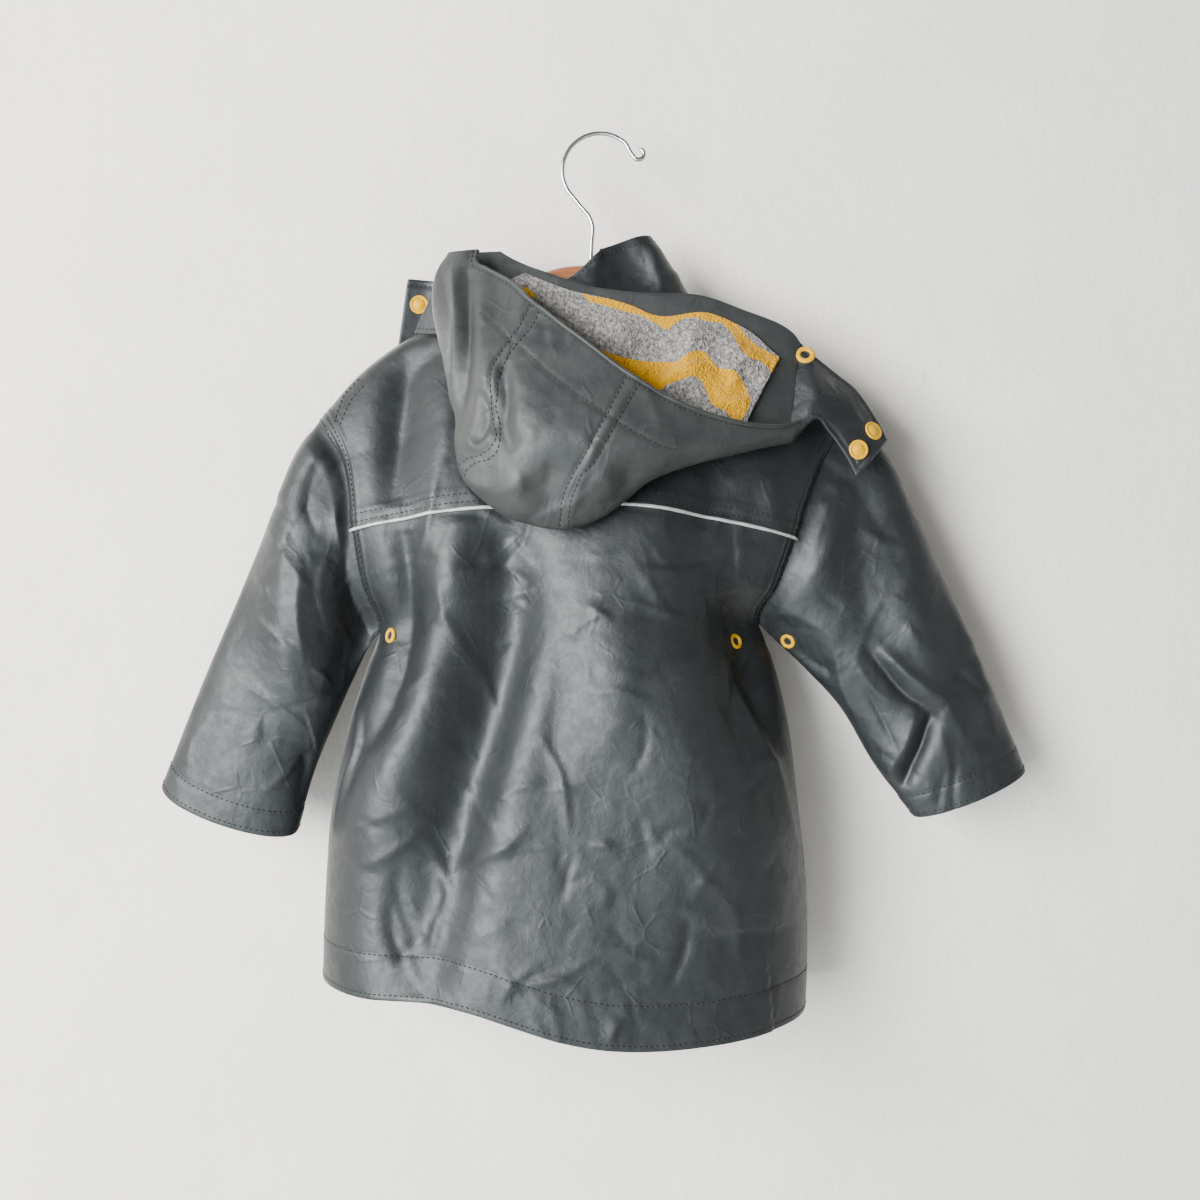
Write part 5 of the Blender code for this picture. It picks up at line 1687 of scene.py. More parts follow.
@dataclass
class CoatBody:
    """Back yoke, back panel and the two overlapping fronts, with their topstitching.

    Its rows of stitches are given by how far they lie from the seam or edge beside them, and
    its wrinkle is the height of the creases that no line is given for.
    """

    noise: ClothNoise = ClothNoise(11)
    hem_band: float = 26.0
    hem_edge_row: float = 2.6
    yoke_rows: tuple[float, float] = (3.4, 8.6)
    armhole_rows: tuple[float, float] = (2.6, 7.4)
    yoke_lift: float = 0.8
    yoke_felled: float = 13.0
    armhole_felled: float = 12.0
    wrinkle: float = 0.85
    piping_radius: float = 1.05
    shoulder_columns: int = 72
    neck_columns: int = 72
    yoke_levels: int = 48
    armhole_levels: int = 42
    lower_levels: int = 124
    angles: Array = field(init=False)
    levels: Array = field(init=False)
    back: ClothGrid = field(init=False)
    front: ClothGrid = field(init=False)

    def __post_init__(self) -> None:
        """Lays out the grid and works out the plain back and front, without creases."""
        half_turn = math.pi / 2
        self.angles = np.concatenate(
            [
                np.linspace(-half_turn, -NECK_ANGLE, self.shoulder_columns + 1)[:-1],
                np.linspace(-NECK_ANGLE, NECK_ANGLE, self.neck_columns + 1),
                np.linspace(NECK_ANGLE, half_turn, self.shoulder_columns + 1)[1:],
            ]
        )
        self.levels = np.concatenate(
            [
                np.linspace(0.0, YOKE_DOWN, self.yoke_levels + 1),
                np.linspace(YOKE_DOWN, ARMPIT_DOWN, self.armhole_levels + 1)[1:],
                np.linspace(ARMPIT_DOWN, HEM_DOWN, self.lower_levels + 1)[1:],
            ]
        )
        back = self._sheet(BACK_ROWS, -BACK_NECK_DEPTH, BACK_NECK_DROP, -1.0)
        front = self._sheet(FRONT_ROWS, FRONT_NECK_DEPTH, FRONT_NECK_DROP, 1.0)
        for column in (0, -1):
            seam = (back[self.armpit_row :, column] + front[self.armpit_row :, column]) / 2
            back[self.armpit_row :, column] = seam
            front[self.armpit_row :, column] = seam
        self.back = ClothGrid(back, self._inward(back, front, -1.0))
        self.front = ClothGrid(front, self._inward(front, back, 1.0))

    @property
    def yoke_row(self) -> int:
        """The row of the yoke seam."""
        return self.yoke_levels

    @property
    def armpit_row(self) -> int:
        """The row of the armpits."""
        return self.yoke_levels + self.armhole_levels

    @property
    def neck(self) -> slice:
        """The columns of the neckline."""
        return slice(self.shoulder_columns, self.shoulder_columns + self.neck_columns + 1)

    def _sheet(self, rows: Sequence[Row], neck_depth: float, neck_drop: float, face: float) -> Array:
        """One side of the body: smooth curves down through the shoulder line and the cross rows.

        Args:
            rows: The cross rows.
            neck_depth: How far the neckline reaches from the hanger's plane.
            neck_drop: How far it dips.
            face: -1 for the back and 1 for the front.

        Returns:
            The points, row by row.
        """
        across = np.sin(self.angles) * SHOULDER_HALF
        part = np.clip(across / NECK_HALF, -1.0, 1.0)
        shoulders = np.array(SHOULDER_LINE)
        height = smooth_rows(shoulders[:, 0], shoulders[:, 1:2], np.maximum(np.abs(across), NECK_HALF))
        top = np.stack(
            [
                COAT_MIDDLE_X + across,
                neck_depth * np.sqrt(1.0 - part**2),
                height[..., 0] - neck_drop * (1.0 - part**2),
            ],
            axis=-1,
        )
        cuts = [top] + [self._cross_row(row) for row in rows]
        knots = [0.0] + [row.down for row in rows]
        points = smooth_rows(knots, np.stack(cuts), self.levels)
        near_top = np.clip(self.levels / SHOULDER_ROUND_DOWN, 0.0, 1.0)
        round_over = SHOULDER_ROUND * np.sin(math.pi * np.sqrt(near_top))
        on_shoulder = smooth_step((np.abs(across) - 0.5 * NECK_HALF) / (0.5 * NECK_HALF))
        points[..., 1] += face * round_over[:, None] * on_shoulder
        low = smooth_step((self.levels - HEM_LIFT_FROM_DOWN) / (HEM_DOWN - HEM_LIFT_FROM_DOWN))[:, None]
        points[..., 2] += HEM_LIFT * low * bell(points[..., 0] - HEM_LIFT_X, HEM_LIFT_HALF_WIDTH)
        return points

    def _cross_row(self, row: Row) -> Array:
        """One row of the body, from its left end over its middle to its right end.

        It is an arc: x goes as the sine of the angle, height as its cosine squared, and
        depth as its cosine to the row's fullness.

        Args:
            row: The row.

        Returns:
            Its points.
        """
        part = (1.0 + np.sin(self.angles)) / 2.0
        full = np.cos(self.angles)
        x = row.left_x + (row.right_x - row.left_x) * part
        side_y = row.left_y + (row.right_y - row.left_y) * part
        side_z = row.left_z + (row.right_z - row.left_z) * part
        y = side_y + (row.mid_y - (row.left_y + row.right_y) / 2) * np.abs(full) ** row.flat
        z = side_z + (row.mid_z - (row.left_z + row.right_z) / 2) * full**2
        return np.stack([x, y, z], axis=-1)

    def _inward(self, points: Array, others: Array, face: float) -> Array:
        """Directions into the wall, the same on both sides of a seam.

        Args:
            points: The side's points.
            others: The other side's.
            face: -1 for the back and 1 for the front.

        Returns:
            One direction for each point.
        """
        inward = inward_normals(points, -face)
        other = inward_normals(others, face)
        edge = slice(None, self.armpit_row + 1)
        below = slice(self.armpit_row + 1, None)
        for column in (0, -1):
            middle = self.armhole_middle(points, others, column)
            inward[edge, column] = unit(middle - points[edge, column])
            inward[below, column] = unit(inward[below, column] + other[below, column])
        along = np.gradient(points[0], axis=0)
        down = unit(np.stack([along[:, 2], 0 * along[:, 0], -along[:, 0]], axis=-1))
        shoulders = np.abs(self.angles) >= NECK_ANGLE - 1e-6
        shoulders[[0, -1]] = False
        inward[0, shoulders] = down[shoulders]
        return inward

    def armhole_middle(self, points: Array, others: Array, column: int) -> Array:
        """The middle of an armhole's loop."""
        rows = slice(None, self.armpit_row + 1)
        return np.concatenate([points[rows, column], others[rows, column]]).mean(axis=0)

    def _edge_fade(self, from_top: float) -> Array:
        """1 inside the cloth, 0 at the shoulder line and at the sides."""
        down = smooth_step(self.levels / from_top)[:, None]
        return down * smooth_step(1.15 * np.cos(self.angles) ** 0.7)

    def _unevenness(self, points: Array) -> Array:
        """Creases that no line is given for: long soft ones, and small ones lower down.

        Args:
            points: The cloth's points.

        Returns:
            The height at each.
        """
        placed = as_seen(points)
        low = smooth_step((self.levels - 90.0) / 200.0)[:, None]
        long = self.noise.creasing(placed, 46.0, 105.0) * 0.55
        small = self.noise.creasing(placed, 19.0, 24.0) * (0.12 + 0.16 * low)
        tiny = self.noise.creasing(placed, 8.0, 11.0) * 0.1
        where = 0.5 + 0.5 * self.noise.soft(placed[..., 0] / 60.0, placed[..., 2] / 60.0, 9)
        fine = relief_of(self.noise.scattered(190, (-150.0, -585.0), (150.0, -200.0)), points)
        return self.wrinkle * (long + small * (0.4 + where) + tiny * where) + fine

    def dressed_back(self) -> ClothGrid:
        """The whole back with its creases, sunk rows of stitches and felled bands.

        Returns:
            Its outer face.
        """
        points = self.back.points
        creases = relief_of(BACK_CREASES + YOKE_CREASES, points)
        height = (creases + self._unevenness(points)) * self._edge_fade(14.0)
        down = self.back.down()
        from_yoke = down - down[self.yoke_row]
        height += self.yoke_lift * smooth_step((from_yoke + self.yoke_felled) / 3.0) * (from_yoke <= 0.0)
        for row in self.yoke_rows:
            height -= 0.5 * bell(from_yoke + row, 1.1)
        height += self._hem_relief(points, self.back.up()) + self._armhole_relief()
        return self.back.raised(height)

    def _hem_relief(self, points: Array, from_hem: Array) -> Array:
        """A thicker band below the hem's stitches, with small puckers along the row.

        Args:
            points: The cloth's points.
            from_hem: How far each is from the hem's edge.

        Returns:
            The height at each.
        """
        x, _ = seen(points)
        band = 0.25 * smooth_step((self.hem_band + 1.0 - from_hem) / 2.0)
        groove = -0.4 * bell(from_hem - self.hem_band, 1.2) - 0.3 * bell(from_hem - self.hem_edge_row, 0.9)
        pucker = self.noise.soft(x / 5.5, from_hem / 26.0, 3) * bell(from_hem - self.hem_band, 9.0)
        slanted = self.noise.soft((x + 0.5 * from_hem) / 9.0, from_hem / 30.0, 4)
        return band + groove + 0.25 * pucker + 0.4 * slanted * bell(from_hem - 13.0, 12.0)

    def _armhole_relief(self) -> Array:
        """A felled band beside each armhole and its two sunk rows of stitches.

        Returns:
            The height at each point of the back.
        """
        across = self.back.across()
        upper = smooth_step((ARMPIT_DOWN + 2.0 - self.levels) / 4.0)[:, None]
        total = np.zeros_like(across)
        for side in (across, across[:, -1:] - across):
            total += 0.6 * smooth_step((self.armhole_felled - side) / 3.0)
            for row in self.armhole_rows:
                total -= 0.45 * bell(side - row, 1.0)
        return total * upper

    def build(self, finishes: Finishes) -> list[Any]:
        """Makes the four pieces of cloth, their stitches and the piping.

        Args:
            finishes: The materials.

        Returns:
            The objects.
        """
        cloth = (finishes.cloth, finishes.backing)
        back = self.dressed_back()
        yoke = back.cut(slice(0, self.yoke_row + 1), slice(None))
        panel = back.cut(slice(self.yoke_row, None), slice(None))
        in_hem = smooth_step((self.levels[self.yoke_row :] - HEM_DOWN + self.hem_band) / 2.0)
        return [
            cloth_piece("back_yoke", yoke, CLOTH, cloth, YOKE_CUT),
            cloth_piece("back_panel", panel, CLOTH + 0.5 * in_hem[:, None], cloth, PANEL_CUT),
            *self._fronts(cloth),
            self._stitches(back, yoke, finishes),
            self._piping(back, finishes),
        ]

    def _fronts(self, cloth: tuple[Any, Any]) -> list[Any]:
        """The two fronts, the wearer's right one lying over the left at the placket.

        Every second row and column of the body's grid is kept, and the last ones.

        Args:
            cloth: The outside's material and the inside's.

        Returns:
            The left front and the right one.
        """
        rows, columns = (
            np.unique(np.append(np.arange(0, len(numbers), 2), len(numbers) - 1))
            for numbers in (self.levels, self.angles)
        )
        kept = np.ix_(rows, columns)
        sheet = ClothGrid(self.front.points[kept], self.front.inward[kept])
        creases = relief_of(FRONT_CREASES, sheet.points * np.array([1.0, 0.0, 1.0]))
        uneven = self._unevenness(self.front.points * np.array([-1.0, 1.0, 1.0]))[kept]
        fade = self._edge_fade(30.0)[kept]
        angles = self.angles[columns]
        flat = smooth_step((np.abs(angles) - PLACKET_ANGLE) / 0.12)
        height = (creases + 0.7 * uneven) * fade * (0.2 + 0.8 * flat)
        sheet = sheet.raised(height - 0.5 * bell(sheet.up() - self.hem_band, 1.6))
        under = sheet.cut(slice(None), slice(0, int((angles <= PLACKET_ANGLE + 1e-6).sum()) + 1))
        first = int((angles < -PLACKET_ANGLE - 1e-6).sum())
        over = sheet.cut(slice(None), slice(first, None))
        placket = (angles[first:] + PLACKET_ANGLE) / (PLACKET_ANGLE / 2)
        lifted = 1.0 - smooth_step((placket - 5.0) / 3.0)
        over = over.raised(np.broadcast_to((SHELL + 2 * SEAM_GAP) * lifted, over.points.shape[:2]))
        return [
            cloth_piece("front_left", under, CLOTH, cloth, LEFT_CUT),
            cloth_piece("front_right", over, CLOTH, cloth, RIGHT_CUT),
        ]

    def _stitches(self, back: ClothGrid, yoke: ClothGrid, finishes: Finishes) -> Any:
        """Topstitching of the yoke, armholes, hem and shoulder.

        Args:
            back: The whole back.
            yoke: Its part above the yoke seam.
            finishes: The materials.

        Returns:
            The stitches, as one object.
        """
        thread = Thread()
        inside = slice(3, -3)
        for row in self.yoke_rows:
            points, outward = yoke.row_up(row)
            thread.sew((points[inside], outward[inside]))
        for row in (self.hem_band, self.hem_edge_row):
            thread.sew(back.row_up(row))
        upper = back.cut(slice(4, self.armpit_row - 1), slice(None)).turned()
        mirrored = ClothGrid(upper.points[::-1], upper.inward[::-1])
        for side in (upper, mirrored):
            for row in self.armhole_rows:
                thread.sew(side.row_down(row))
        for line in SHOULDER_STITCHES:
            thread.sew(back.under(line))
        return thread.piece("body", finishes)

    def _piping(self, back: ClothGrid, finishes: Finishes) -> Any:
        """A round cord of piping that lies in the yoke seam, from armhole to armhole.

        Args:
            back: The whole back.
            finishes: The materials.

        Returns:
            The object.
        """
        level = np.full(len(self.angles), self.yoke_row + 0.45)
        points, outward = back.row_at(level)
        path = (points + outward * (self.piping_radius * 0.55))[1:-1]
        wander = 0.12 * self.noise.soft(path[:, 0] / 7.0, path[:, 2] / 7.0, 8)
        points, faces = lofted(tube_rings(path, self.piping_radius + wander, 12))
        piece = new_piece("piping_cord", points, faces, [finishes.piping])
        return dressed(piece, ["piping"])


# ---------------------------------------------------------------- sleeves


class Side(Enum):
    """A side of the coat, by the sign of X."""

    LEFT = -1
    RIGHT = 1


@dataclass
class Sleeve:
    """One sleeve: a tube from the armhole's loop to the cuff.

    Its outer edge is away from the body and its inner one at it. The back of the cuff hangs
    lower than both by its drop. Depths are given by how far down the sleeve they are.
    """

    side: Side
    outer: Sequence[Point]
    inner: Sequence[Point]
    cuff_drop: float
    creases: Sequence[Crease]
    noise: ClothNoise
    back_depth: Line = ((0, 25), (0.35, 27), (0.7, 21), (1, 17))
    front_depth: Line = ((0, 22), (0.35, 21), (0.7, 18), (1, 15))
    crumples: Sequence[Point] = ((0.5, 34, 60), (0.2, 14, 19), (0.1, 7, 9))
    cuff_band: float = 16.0
    cuff_edge_row: float = 2.6
    middle_x: float = 205.0
    back_columns: int = 90
    front_columns: int = 54
    rows: int = 140

    @property
    def label(self) -> str:
        """Its node's name."""
        return f"sleeve_{self.side.name.lower()}"

    @property
    def armhole_column(self) -> int:
        """The column of the body's grid that is its armhole."""
        return 0 if self.side is Side.LEFT else -1

    @staticmethod
    def _read(table: Any, along: Array) -> Array:
        """A table's numbers, whose first column is how far down the sleeve they are."""
        numbers = np.array(table)
        return smooth_rows(numbers[:, 0], numbers[:, 1:], along)

    def _edge(self, table: Sequence[Point], along: Array) -> Array:
        """Points of an edge in the hanger's plane."""
        return np.insert(self._read(table, along), 1, 0.0, axis=1)

    def _loop(self, body: CoatBody, turn: Array) -> Array:
        """The armhole's seam, read at the share of its height that each turn has.

        Args:
            body: The coat's body.
            turn: The turns round the sleeve.

        Returns:
            One point for each turn.
        """
        rows = slice(None, body.armpit_row + 1)
        part = (1.0 - np.cos(turn)) / 2.0
        halves = []
        for sheet, chosen in ((body.back, turn <= math.pi), (body.front, turn > math.pi)):
            line = sheet.points[rows, self.armhole_column]
            span = line[-1] - line[0]
            share = np.clip((line - line[0]) @ span / (span @ span), 0.0, 1.0)
            share = np.maximum.accumulate(share)
            halves.append([np.interp(part[chosen], share, line[:, axis]) for axis in range(3)])
        return np.concatenate([np.array(half).T for half in halves])

    def _turns(self) -> Array:
        """The turn at each column, from 0 to pi behind and on round the front."""
        behind = np.linspace(0.0, math.pi, self.back_columns + 1)
        return np.append(behind, np.linspace(math.pi, 2 * math.pi, self.front_columns + 1)[1:-1])

    def surface(self, body: CoatBody) -> ClothGrid:
        """The sleeve's plain form.

        Round each ring the turn t goes from 0 at the outer edge over the back (t = pi is
        the inner edge) to the front: a point lies (1 - cos t) / 2 of the way from edge to
        edge and stands out by |sin t|^0.9 times the depth.

        Args:
            body: The coat's body, for the armhole.

        Returns:
            The tube, its columns going round.
        """
        turn = self._turns()
        part = (1.0 - np.cos(turn)) / 2.0
        full = np.abs(np.sin(turn)) ** 0.9
        face = np.where(turn <= math.pi, -1.0, 1.0)
        along = np.linspace(0.0, 1.0, self.rows + 1)
        outer = self._edge(self.outer, along)
        inner = self._edge(self.inner, along)
        depth = np.where(
            face[None] < 0,
            self._read(self.back_depth, along),
            self._read(self.front_depth, along),
        )
        rings = outer[:, None] + (inner - outer)[:, None] * part[None, :, None]
        rings[..., 1] += face * full * depth
        low = smooth_step((along - 0.6) / 0.4)
        rings[..., 2] -= self.cuff_drop * low[:, None] * full * (face < 0)
        fade = (1.0 - smooth_step(along / 0.55))[:, None, None]
        rings = rings + (self._loop(body, turn) - rings[0])[None] * fade
        middle = rings.mean(axis=1, keepdims=True)
        inward = inward_normals(rings, 1.0, ring=True)
        if np.sum((middle - rings) * inward) < 0:
            inward = -inward
        armhole = body.armhole_middle(body.back.points, body.front.points, self.armhole_column)
        inward[0] = unit(armhole - rings[0])
        return ClothGrid(rings, inward)

    def dressed_surface(self, body: CoatBody) -> ClothGrid:
        """The sleeve with its creases, and its cuff's band and sunk stitches.

        Args:
            body: The coat's body.

        Returns:
            The tube's outer face.
        """
        plain = self.surface(body)
        points = plain.points
        turn = self._turns()
        behind = smooth_step(1.9 * np.sin(turn))
        sides = smooth_step(1.5 * np.abs(np.sin(turn)) + 0.15)
        placed = as_seen(points)
        x = placed[..., 0].copy()
        placed[..., 0] += 400.0 * (turn > math.pi)
        uneven = self.noise.mixed(placed, self.crumples)
        middle = self.middle_x * self.side.value
        fine = relief_of(self.noise.scattered(60, (middle - 85.0, -460.0), (middle + 85.0, -190.0)), points)
        start = smooth_step(np.linspace(0.0, 1.0, self.rows + 1) / 0.09)[:, None]
        height = ((relief_of(self.creases, points) + fine) * behind + 0.8 * uneven * sides) * start
        from_cuff = plain.up()
        height += 0.3 * smooth_step((self.cuff_band + 1.0 - from_cuff) / 2.0)
        height -= 0.5 * bell(from_cuff - self.cuff_band, 1.2)
        pucker = self.noise.soft(x / 5.0, from_cuff / 22.0, 3)
        height += 0.3 * pucker * bell(from_cuff - self.cuff_band, 7.0)
        return plain.raised(height)

    def build(self, body: CoatBody, finishes: Finishes) -> list[Any]:
        """Makes the sleeve and its cuff's stitches.

        Args:
            body: The coat's body.
            finishes: The materials.

        Returns:
            The objects.
        """
        cloth = self.dressed_surface(body)
        faces = (finishes.cloth, finishes.backing)
        sleeve = cloth_piece(self.label, cloth, CLOTH, faces, SLEEVE_CUT, ring=True)
        thread = Thread()
        for row in (self.cuff_band, self.cuff_edge_row):
            points, outward = cloth.row_up(row)
            thread.sew((np.concatenate([points, points[:1]]), np.concatenate([outward, outward[:1]])))
        return [sleeve, thread.piece(self.label, finishes)]


# ---------------------------------------------------------------- collar


@dataclass
class Collar:
    """The stand collar, doubled, which folds over towards the hood at the back."""

    noise: ClothNoise = ClothNoise(23)
    opening: float = 3.0
    edge_row: float = 4.0
    rows: int = 26

    def surface(self, body: CoatBody) -> ClothGrid:
        """The neckline's points, moved along a lean that changes round the neck.

        Args:
            body: The coat's body.

        Returns:
            The collar's outer face, from the neckline up.
        """
        front = body.front.points[0, body.neck]
        back = body.back.points[0, body.neck]
        middle = body.neck_columns // 2
        right = front[middle:][:-1]
        left = front[1 : middle + 1]
        base = np.concatenate([right, back[::-1], left])
        around = np.concatenate(
            [
                np.linspace(0.0, 1.0, len(right) + 1)[:-1],
                np.linspace(1.0, 3.0, len(back)),
                np.linspace(3.0, 4.0, len(left) + 1)[1:],
            ]
        )
        base[0, 0] += self.opening
        base[-1, 0] -= self.opening
        table = np.array(COLLAR_POINTS)
        lean = smooth_rows(table[:, 0], table[:, 1:], around)
        up = np.linspace(0.0, 1.0, self.rows + 1)[:, None, None]
        points = base[None] + up * lean[None]
        points[..., 2] += SEAM_GAP
        centre = np.array([COAT_MIDDLE_X, 4.0, 0.0])
        inward = inward_normals(points, 1.0)
        if np.sum((centre - points)[..., :2] * inward[..., :2]) < 0:
            inward = -inward
        inward[0, :, 2] = 0.0
        inward[0] = unit(inward[0])
        return ClothGrid(points, inward)

    def build(self, body: CoatBody, finishes: Finishes) -> list[Any]:
        """Makes the collar and the stitches along its edge.

        Args:
            body: The coat's body.
            finishes: The materials.

        Returns:
            The objects.
        """
        plain = self.surface(body)
        up = np.linspace(0.0, 1.0, self.rows + 1)[:, None]
        x, z = seen(plain.points)
        behind = smooth_step((plain.inward[..., 1] + 0.1) / 0.4)
        height = relief_of(COLLAR_CREASES, plain.points) * behind
        height += 0.8 * self.noise.creasing(plain.points, 22.0, 16.0) * smooth_step(up * 4.0)
        height += 0.5 * self.noise.soft(x / 8.0, z / 8.0, 2) * up
        cloth = plain.raised(height - 0.4 * bell(plain.up() - self.edge_row, 1.0))
        collar = cloth_piece("collar", cloth, DOUBLE, (finishes.cloth,), COLLAR_CUT)
        thread = Thread()
        thread.sew(cloth.row_up(self.edge_row))
        return [collar, thread.piece("collar", finishes)]


# ---------------------------------------------------------------- hood


@dataclass
class Hood:
    """The hood, which hangs open down the back: two sides, a centre strip and a terry lining.

    Its steps are the columns of the left side, the centre and the right side, and its rows
    run from the face edge over the bottom fold to the neck edge.
    """

    noise: ClothNoise = ClothNoise(37)
    crumples: Sequence[Point] = ((0.5, 30, 34), (0.2, 12, 14), (0.1, 6, 7))
    steps: tuple[int, int, int] = (96, 44, 78)
    rows: int = 128
    edge_roll: float = 1.35
    edge_row: float = 3.0
    lining_first: float = 2.5
    lining_last: float = 10.0
    lining_from: float = 0.556

    def plain(self, cuts: Array, parts: Array) -> Array:
        """Points of the hood without creases.

        Args:
            cuts: The cut of each column.
            parts: The part of each row, from the face edge (0) to the neck edge (2).

        Returns:
            The points, row by row.
        """
        table = np.array(HOOD_CUTS, float)
        across = smooth_rows(np.arange(len(table)), table, cuts)
        return smooth_rows([0.0, 0.5, 1.0, 1.5, 2.0], np.moveaxis(across, 1, 0), parts)

    def surface(self, cuts: Array, parts: Array) -> ClothGrid:
        """The hood with its creases, felled seams and folds.

        Args:
            cuts: The cut of each column.
            parts: The part of each row.

        Returns:
            The outer face.
        """
        points = self.plain(cuts, parts)
        outside = 1.0 - smooth_step((parts - 0.92) / 0.2)[:, None]
        ends = smooth_step(cuts / 0.35) * smooth_step((LAST_CUT - cuts) / 0.5)
        uneven = self.noise.mixed(as_seen(points) + 300.0 * (parts[:, None, None] > 1.0), self.crumples)
        fine = self.noise.scattered(40, (-95.0, -240.0), (60.0, -110.0), 0.7)
        height = relief_of(HOOD_CREASES + fine, points) * outside
        height += 0.6 * uneven * ends * (0.35 + 0.65 * outside)
        height += relief_of(HOOD_BANDS, points) * outside
        return ClothGrid(points, inward_normals(points, 1.0)).raised(height)

    def build(self, finishes: Finishes) -> list[Any]:
        """Makes the hood's panels, its lining, its rolled edge and all its stitches.

        Args:
            finishes: The materials.

        Returns:
            The objects.
        """
        left, centre, right = self.steps
        cuts = np.concatenate(
            [
                np.linspace(0.0, SEAM_LEFT_CUT, left + 1),
                np.linspace(SEAM_LEFT_CUT, SEAM_RIGHT_CUT, centre + 1)[1:],
                np.linspace(SEAM_RIGHT_CUT, LAST_CUT, right + 1)[1:],
            ]
        )
        parts = np.linspace(0.0, 2.0, self.rows + 1)
        cloth = self.surface(cuts, parts)
        spans = (
            ("hood_side_left", slice(0, left + 1), HOOD_LEFT_CUT),
            ("hood_centre", slice(left, left + centre + 1), HOOD_CENTRE_CUT),
            ("hood_side_right", slice(left + centre, None), HOOD_RIGHT_CUT),
        )
        pieces = [
            # the hood's panels take the lighter copy of the cloth, whose colours are painted light
            cloth_piece(node, cloth.cut(slice(None), columns), CLOTH, (finishes.hood,), cut)
            for node, columns, cut in spans
        ]
        pieces += [self._lining(finishes), self._edge(cloth, finishes), self._stitches(cloth, finishes)]
        return pieces

    def _lining(self, finishes: Finishes) -> Any:
        """The striped lining inside the bag, up to the neck edge.

        Args:
            finishes: The materials.

        Returns:
            The object.
        """
        cuts = np.linspace(self.lining_first, self.lining_last, 150)
        share = np.linspace(0.0, 1.0, 110)
        table = np.array(LINING_TOP)
        tops = smooth_rows(table[:, 0], table[:, 1:2], cuts)[:, 0]
        parts = np.linspace(0.0, 2.0, 220)
        whole = self.surface(cuts, parts)
        columns = []
        for values in (whole.points, whole.inward):
            wanted = self.lining_from + (tops - self.lining_from)[None] * share[:, None]
            place = np.clip(wanted / 2.0 * (len(parts) - 1), 0, len(parts) - 1.001)
            low = np.floor(place).astype(int)
            part = (place - low)[..., None]
            each = np.arange(len(cuts))[None]
            columns.append(values[low, each] * (1 - part) + values[low + 1, each] * part)
        points, inward = columns[0], unit(columns[1])
        face = points + inward * (CLOTH + 2 * SEAM_GAP + TERRY)
        x, z = seen(face)
        height = relief_of(LINING_CREASES, face) * smooth_step(share * 3.0 - 0.6)[:, None]
        pile = 0.9 * self.noise.creasing(as_seen(face), 15.0, 13.0)
        pile += 0.45 * self.noise.soft(x / 2.4, z / 2.4, 5) + 0.3 * self.noise.soft(x / 1.3, z / 1.3, 6)
        height = height + pile * smooth_step((1.0 - share) * 30.0)[:, None]
        height = np.maximum(height + 1.2, 0.3 * height - 0.2) * smooth_step((1.0 - share) * 12.0)[:, None]
        cloth = ClothGrid(face, -inward).raised(height)
        piece = cloth_wall("hood_lining_terry", cloth, TERRY, (finishes.terry,))
        self._map_stripes(piece, cloth)
        return dressed(piece, ["hood_lining"], LINING_CUT)

    @staticmethod
    def _map_stripes(piece: Any, cloth: ClothGrid) -> None:
        """Writes the map that the stripes follow: across it runs the cloth, up it how far inside gold.

        Args:
            piece: The lining.
            cloth: Its outer face.
        """
        x, z = seen(cloth.points)
        inside = np.max([inside_of(outline, x, z) for outline in GOLDEN_PATCHES], axis=0)
        grid = np.stack([cloth.across() * MM, inside * MM], axis=-1).reshape(-1, 2)
        rim = border(np.arange(len(grid)).reshape(x.shape))
        every = np.concatenate([grid, grid] + [grid[rim]] * len(RIM_TURNS))
        layer = piece.data.uv_layers.new(name="lining")
        corner = np.empty(len(piece.data.loops), np.int32)
        piece.data.loops.foreach_get("vertex_index", corner)
        layer.data.foreach_set("uv", every[corner].astype(np.float32).ravel())

    def _edge(self, cloth: ClothGrid, finishes: Finishes) -> Any:
        """The rolled binding along the face edge.

        Args:
            cloth: The hood's outer face.
            finishes: The materials.

        Returns:
            The object.
        """
        path = cloth.points[0] + cloth.inward[0] * (CLOTH / 2)
        wander = 0.2 * self.noise.soft(path[:, 0] / 9.0, path[:, 2] / 9.0, 7)
        points, faces = lofted(tube_rings(path[1:-1], self.edge_roll + wander[1:-1], 10))
        return new_piece("hood_edge_roll", points, faces, [finishes.hood])

    def _stitches(self, cloth: ClothGrid, finishes: Finishes) -> Any:
        """The felled seams, the facing's line and the binding's row.

        Args:
            cloth: The hood's outer face.
            finishes: The materials.

        Returns:
            The stitches, as one object.
        """
        thread = Thread()
        outside = cloth.cut(slice(0, self.rows // 2 + 4), slice(None))
        for line in STITCHED_ON_HOOD:
            thread.sew(outside.under(line))
        thread.sew(outside.row_down(self.edge_row))
        return thread.piece("hood", finishes)


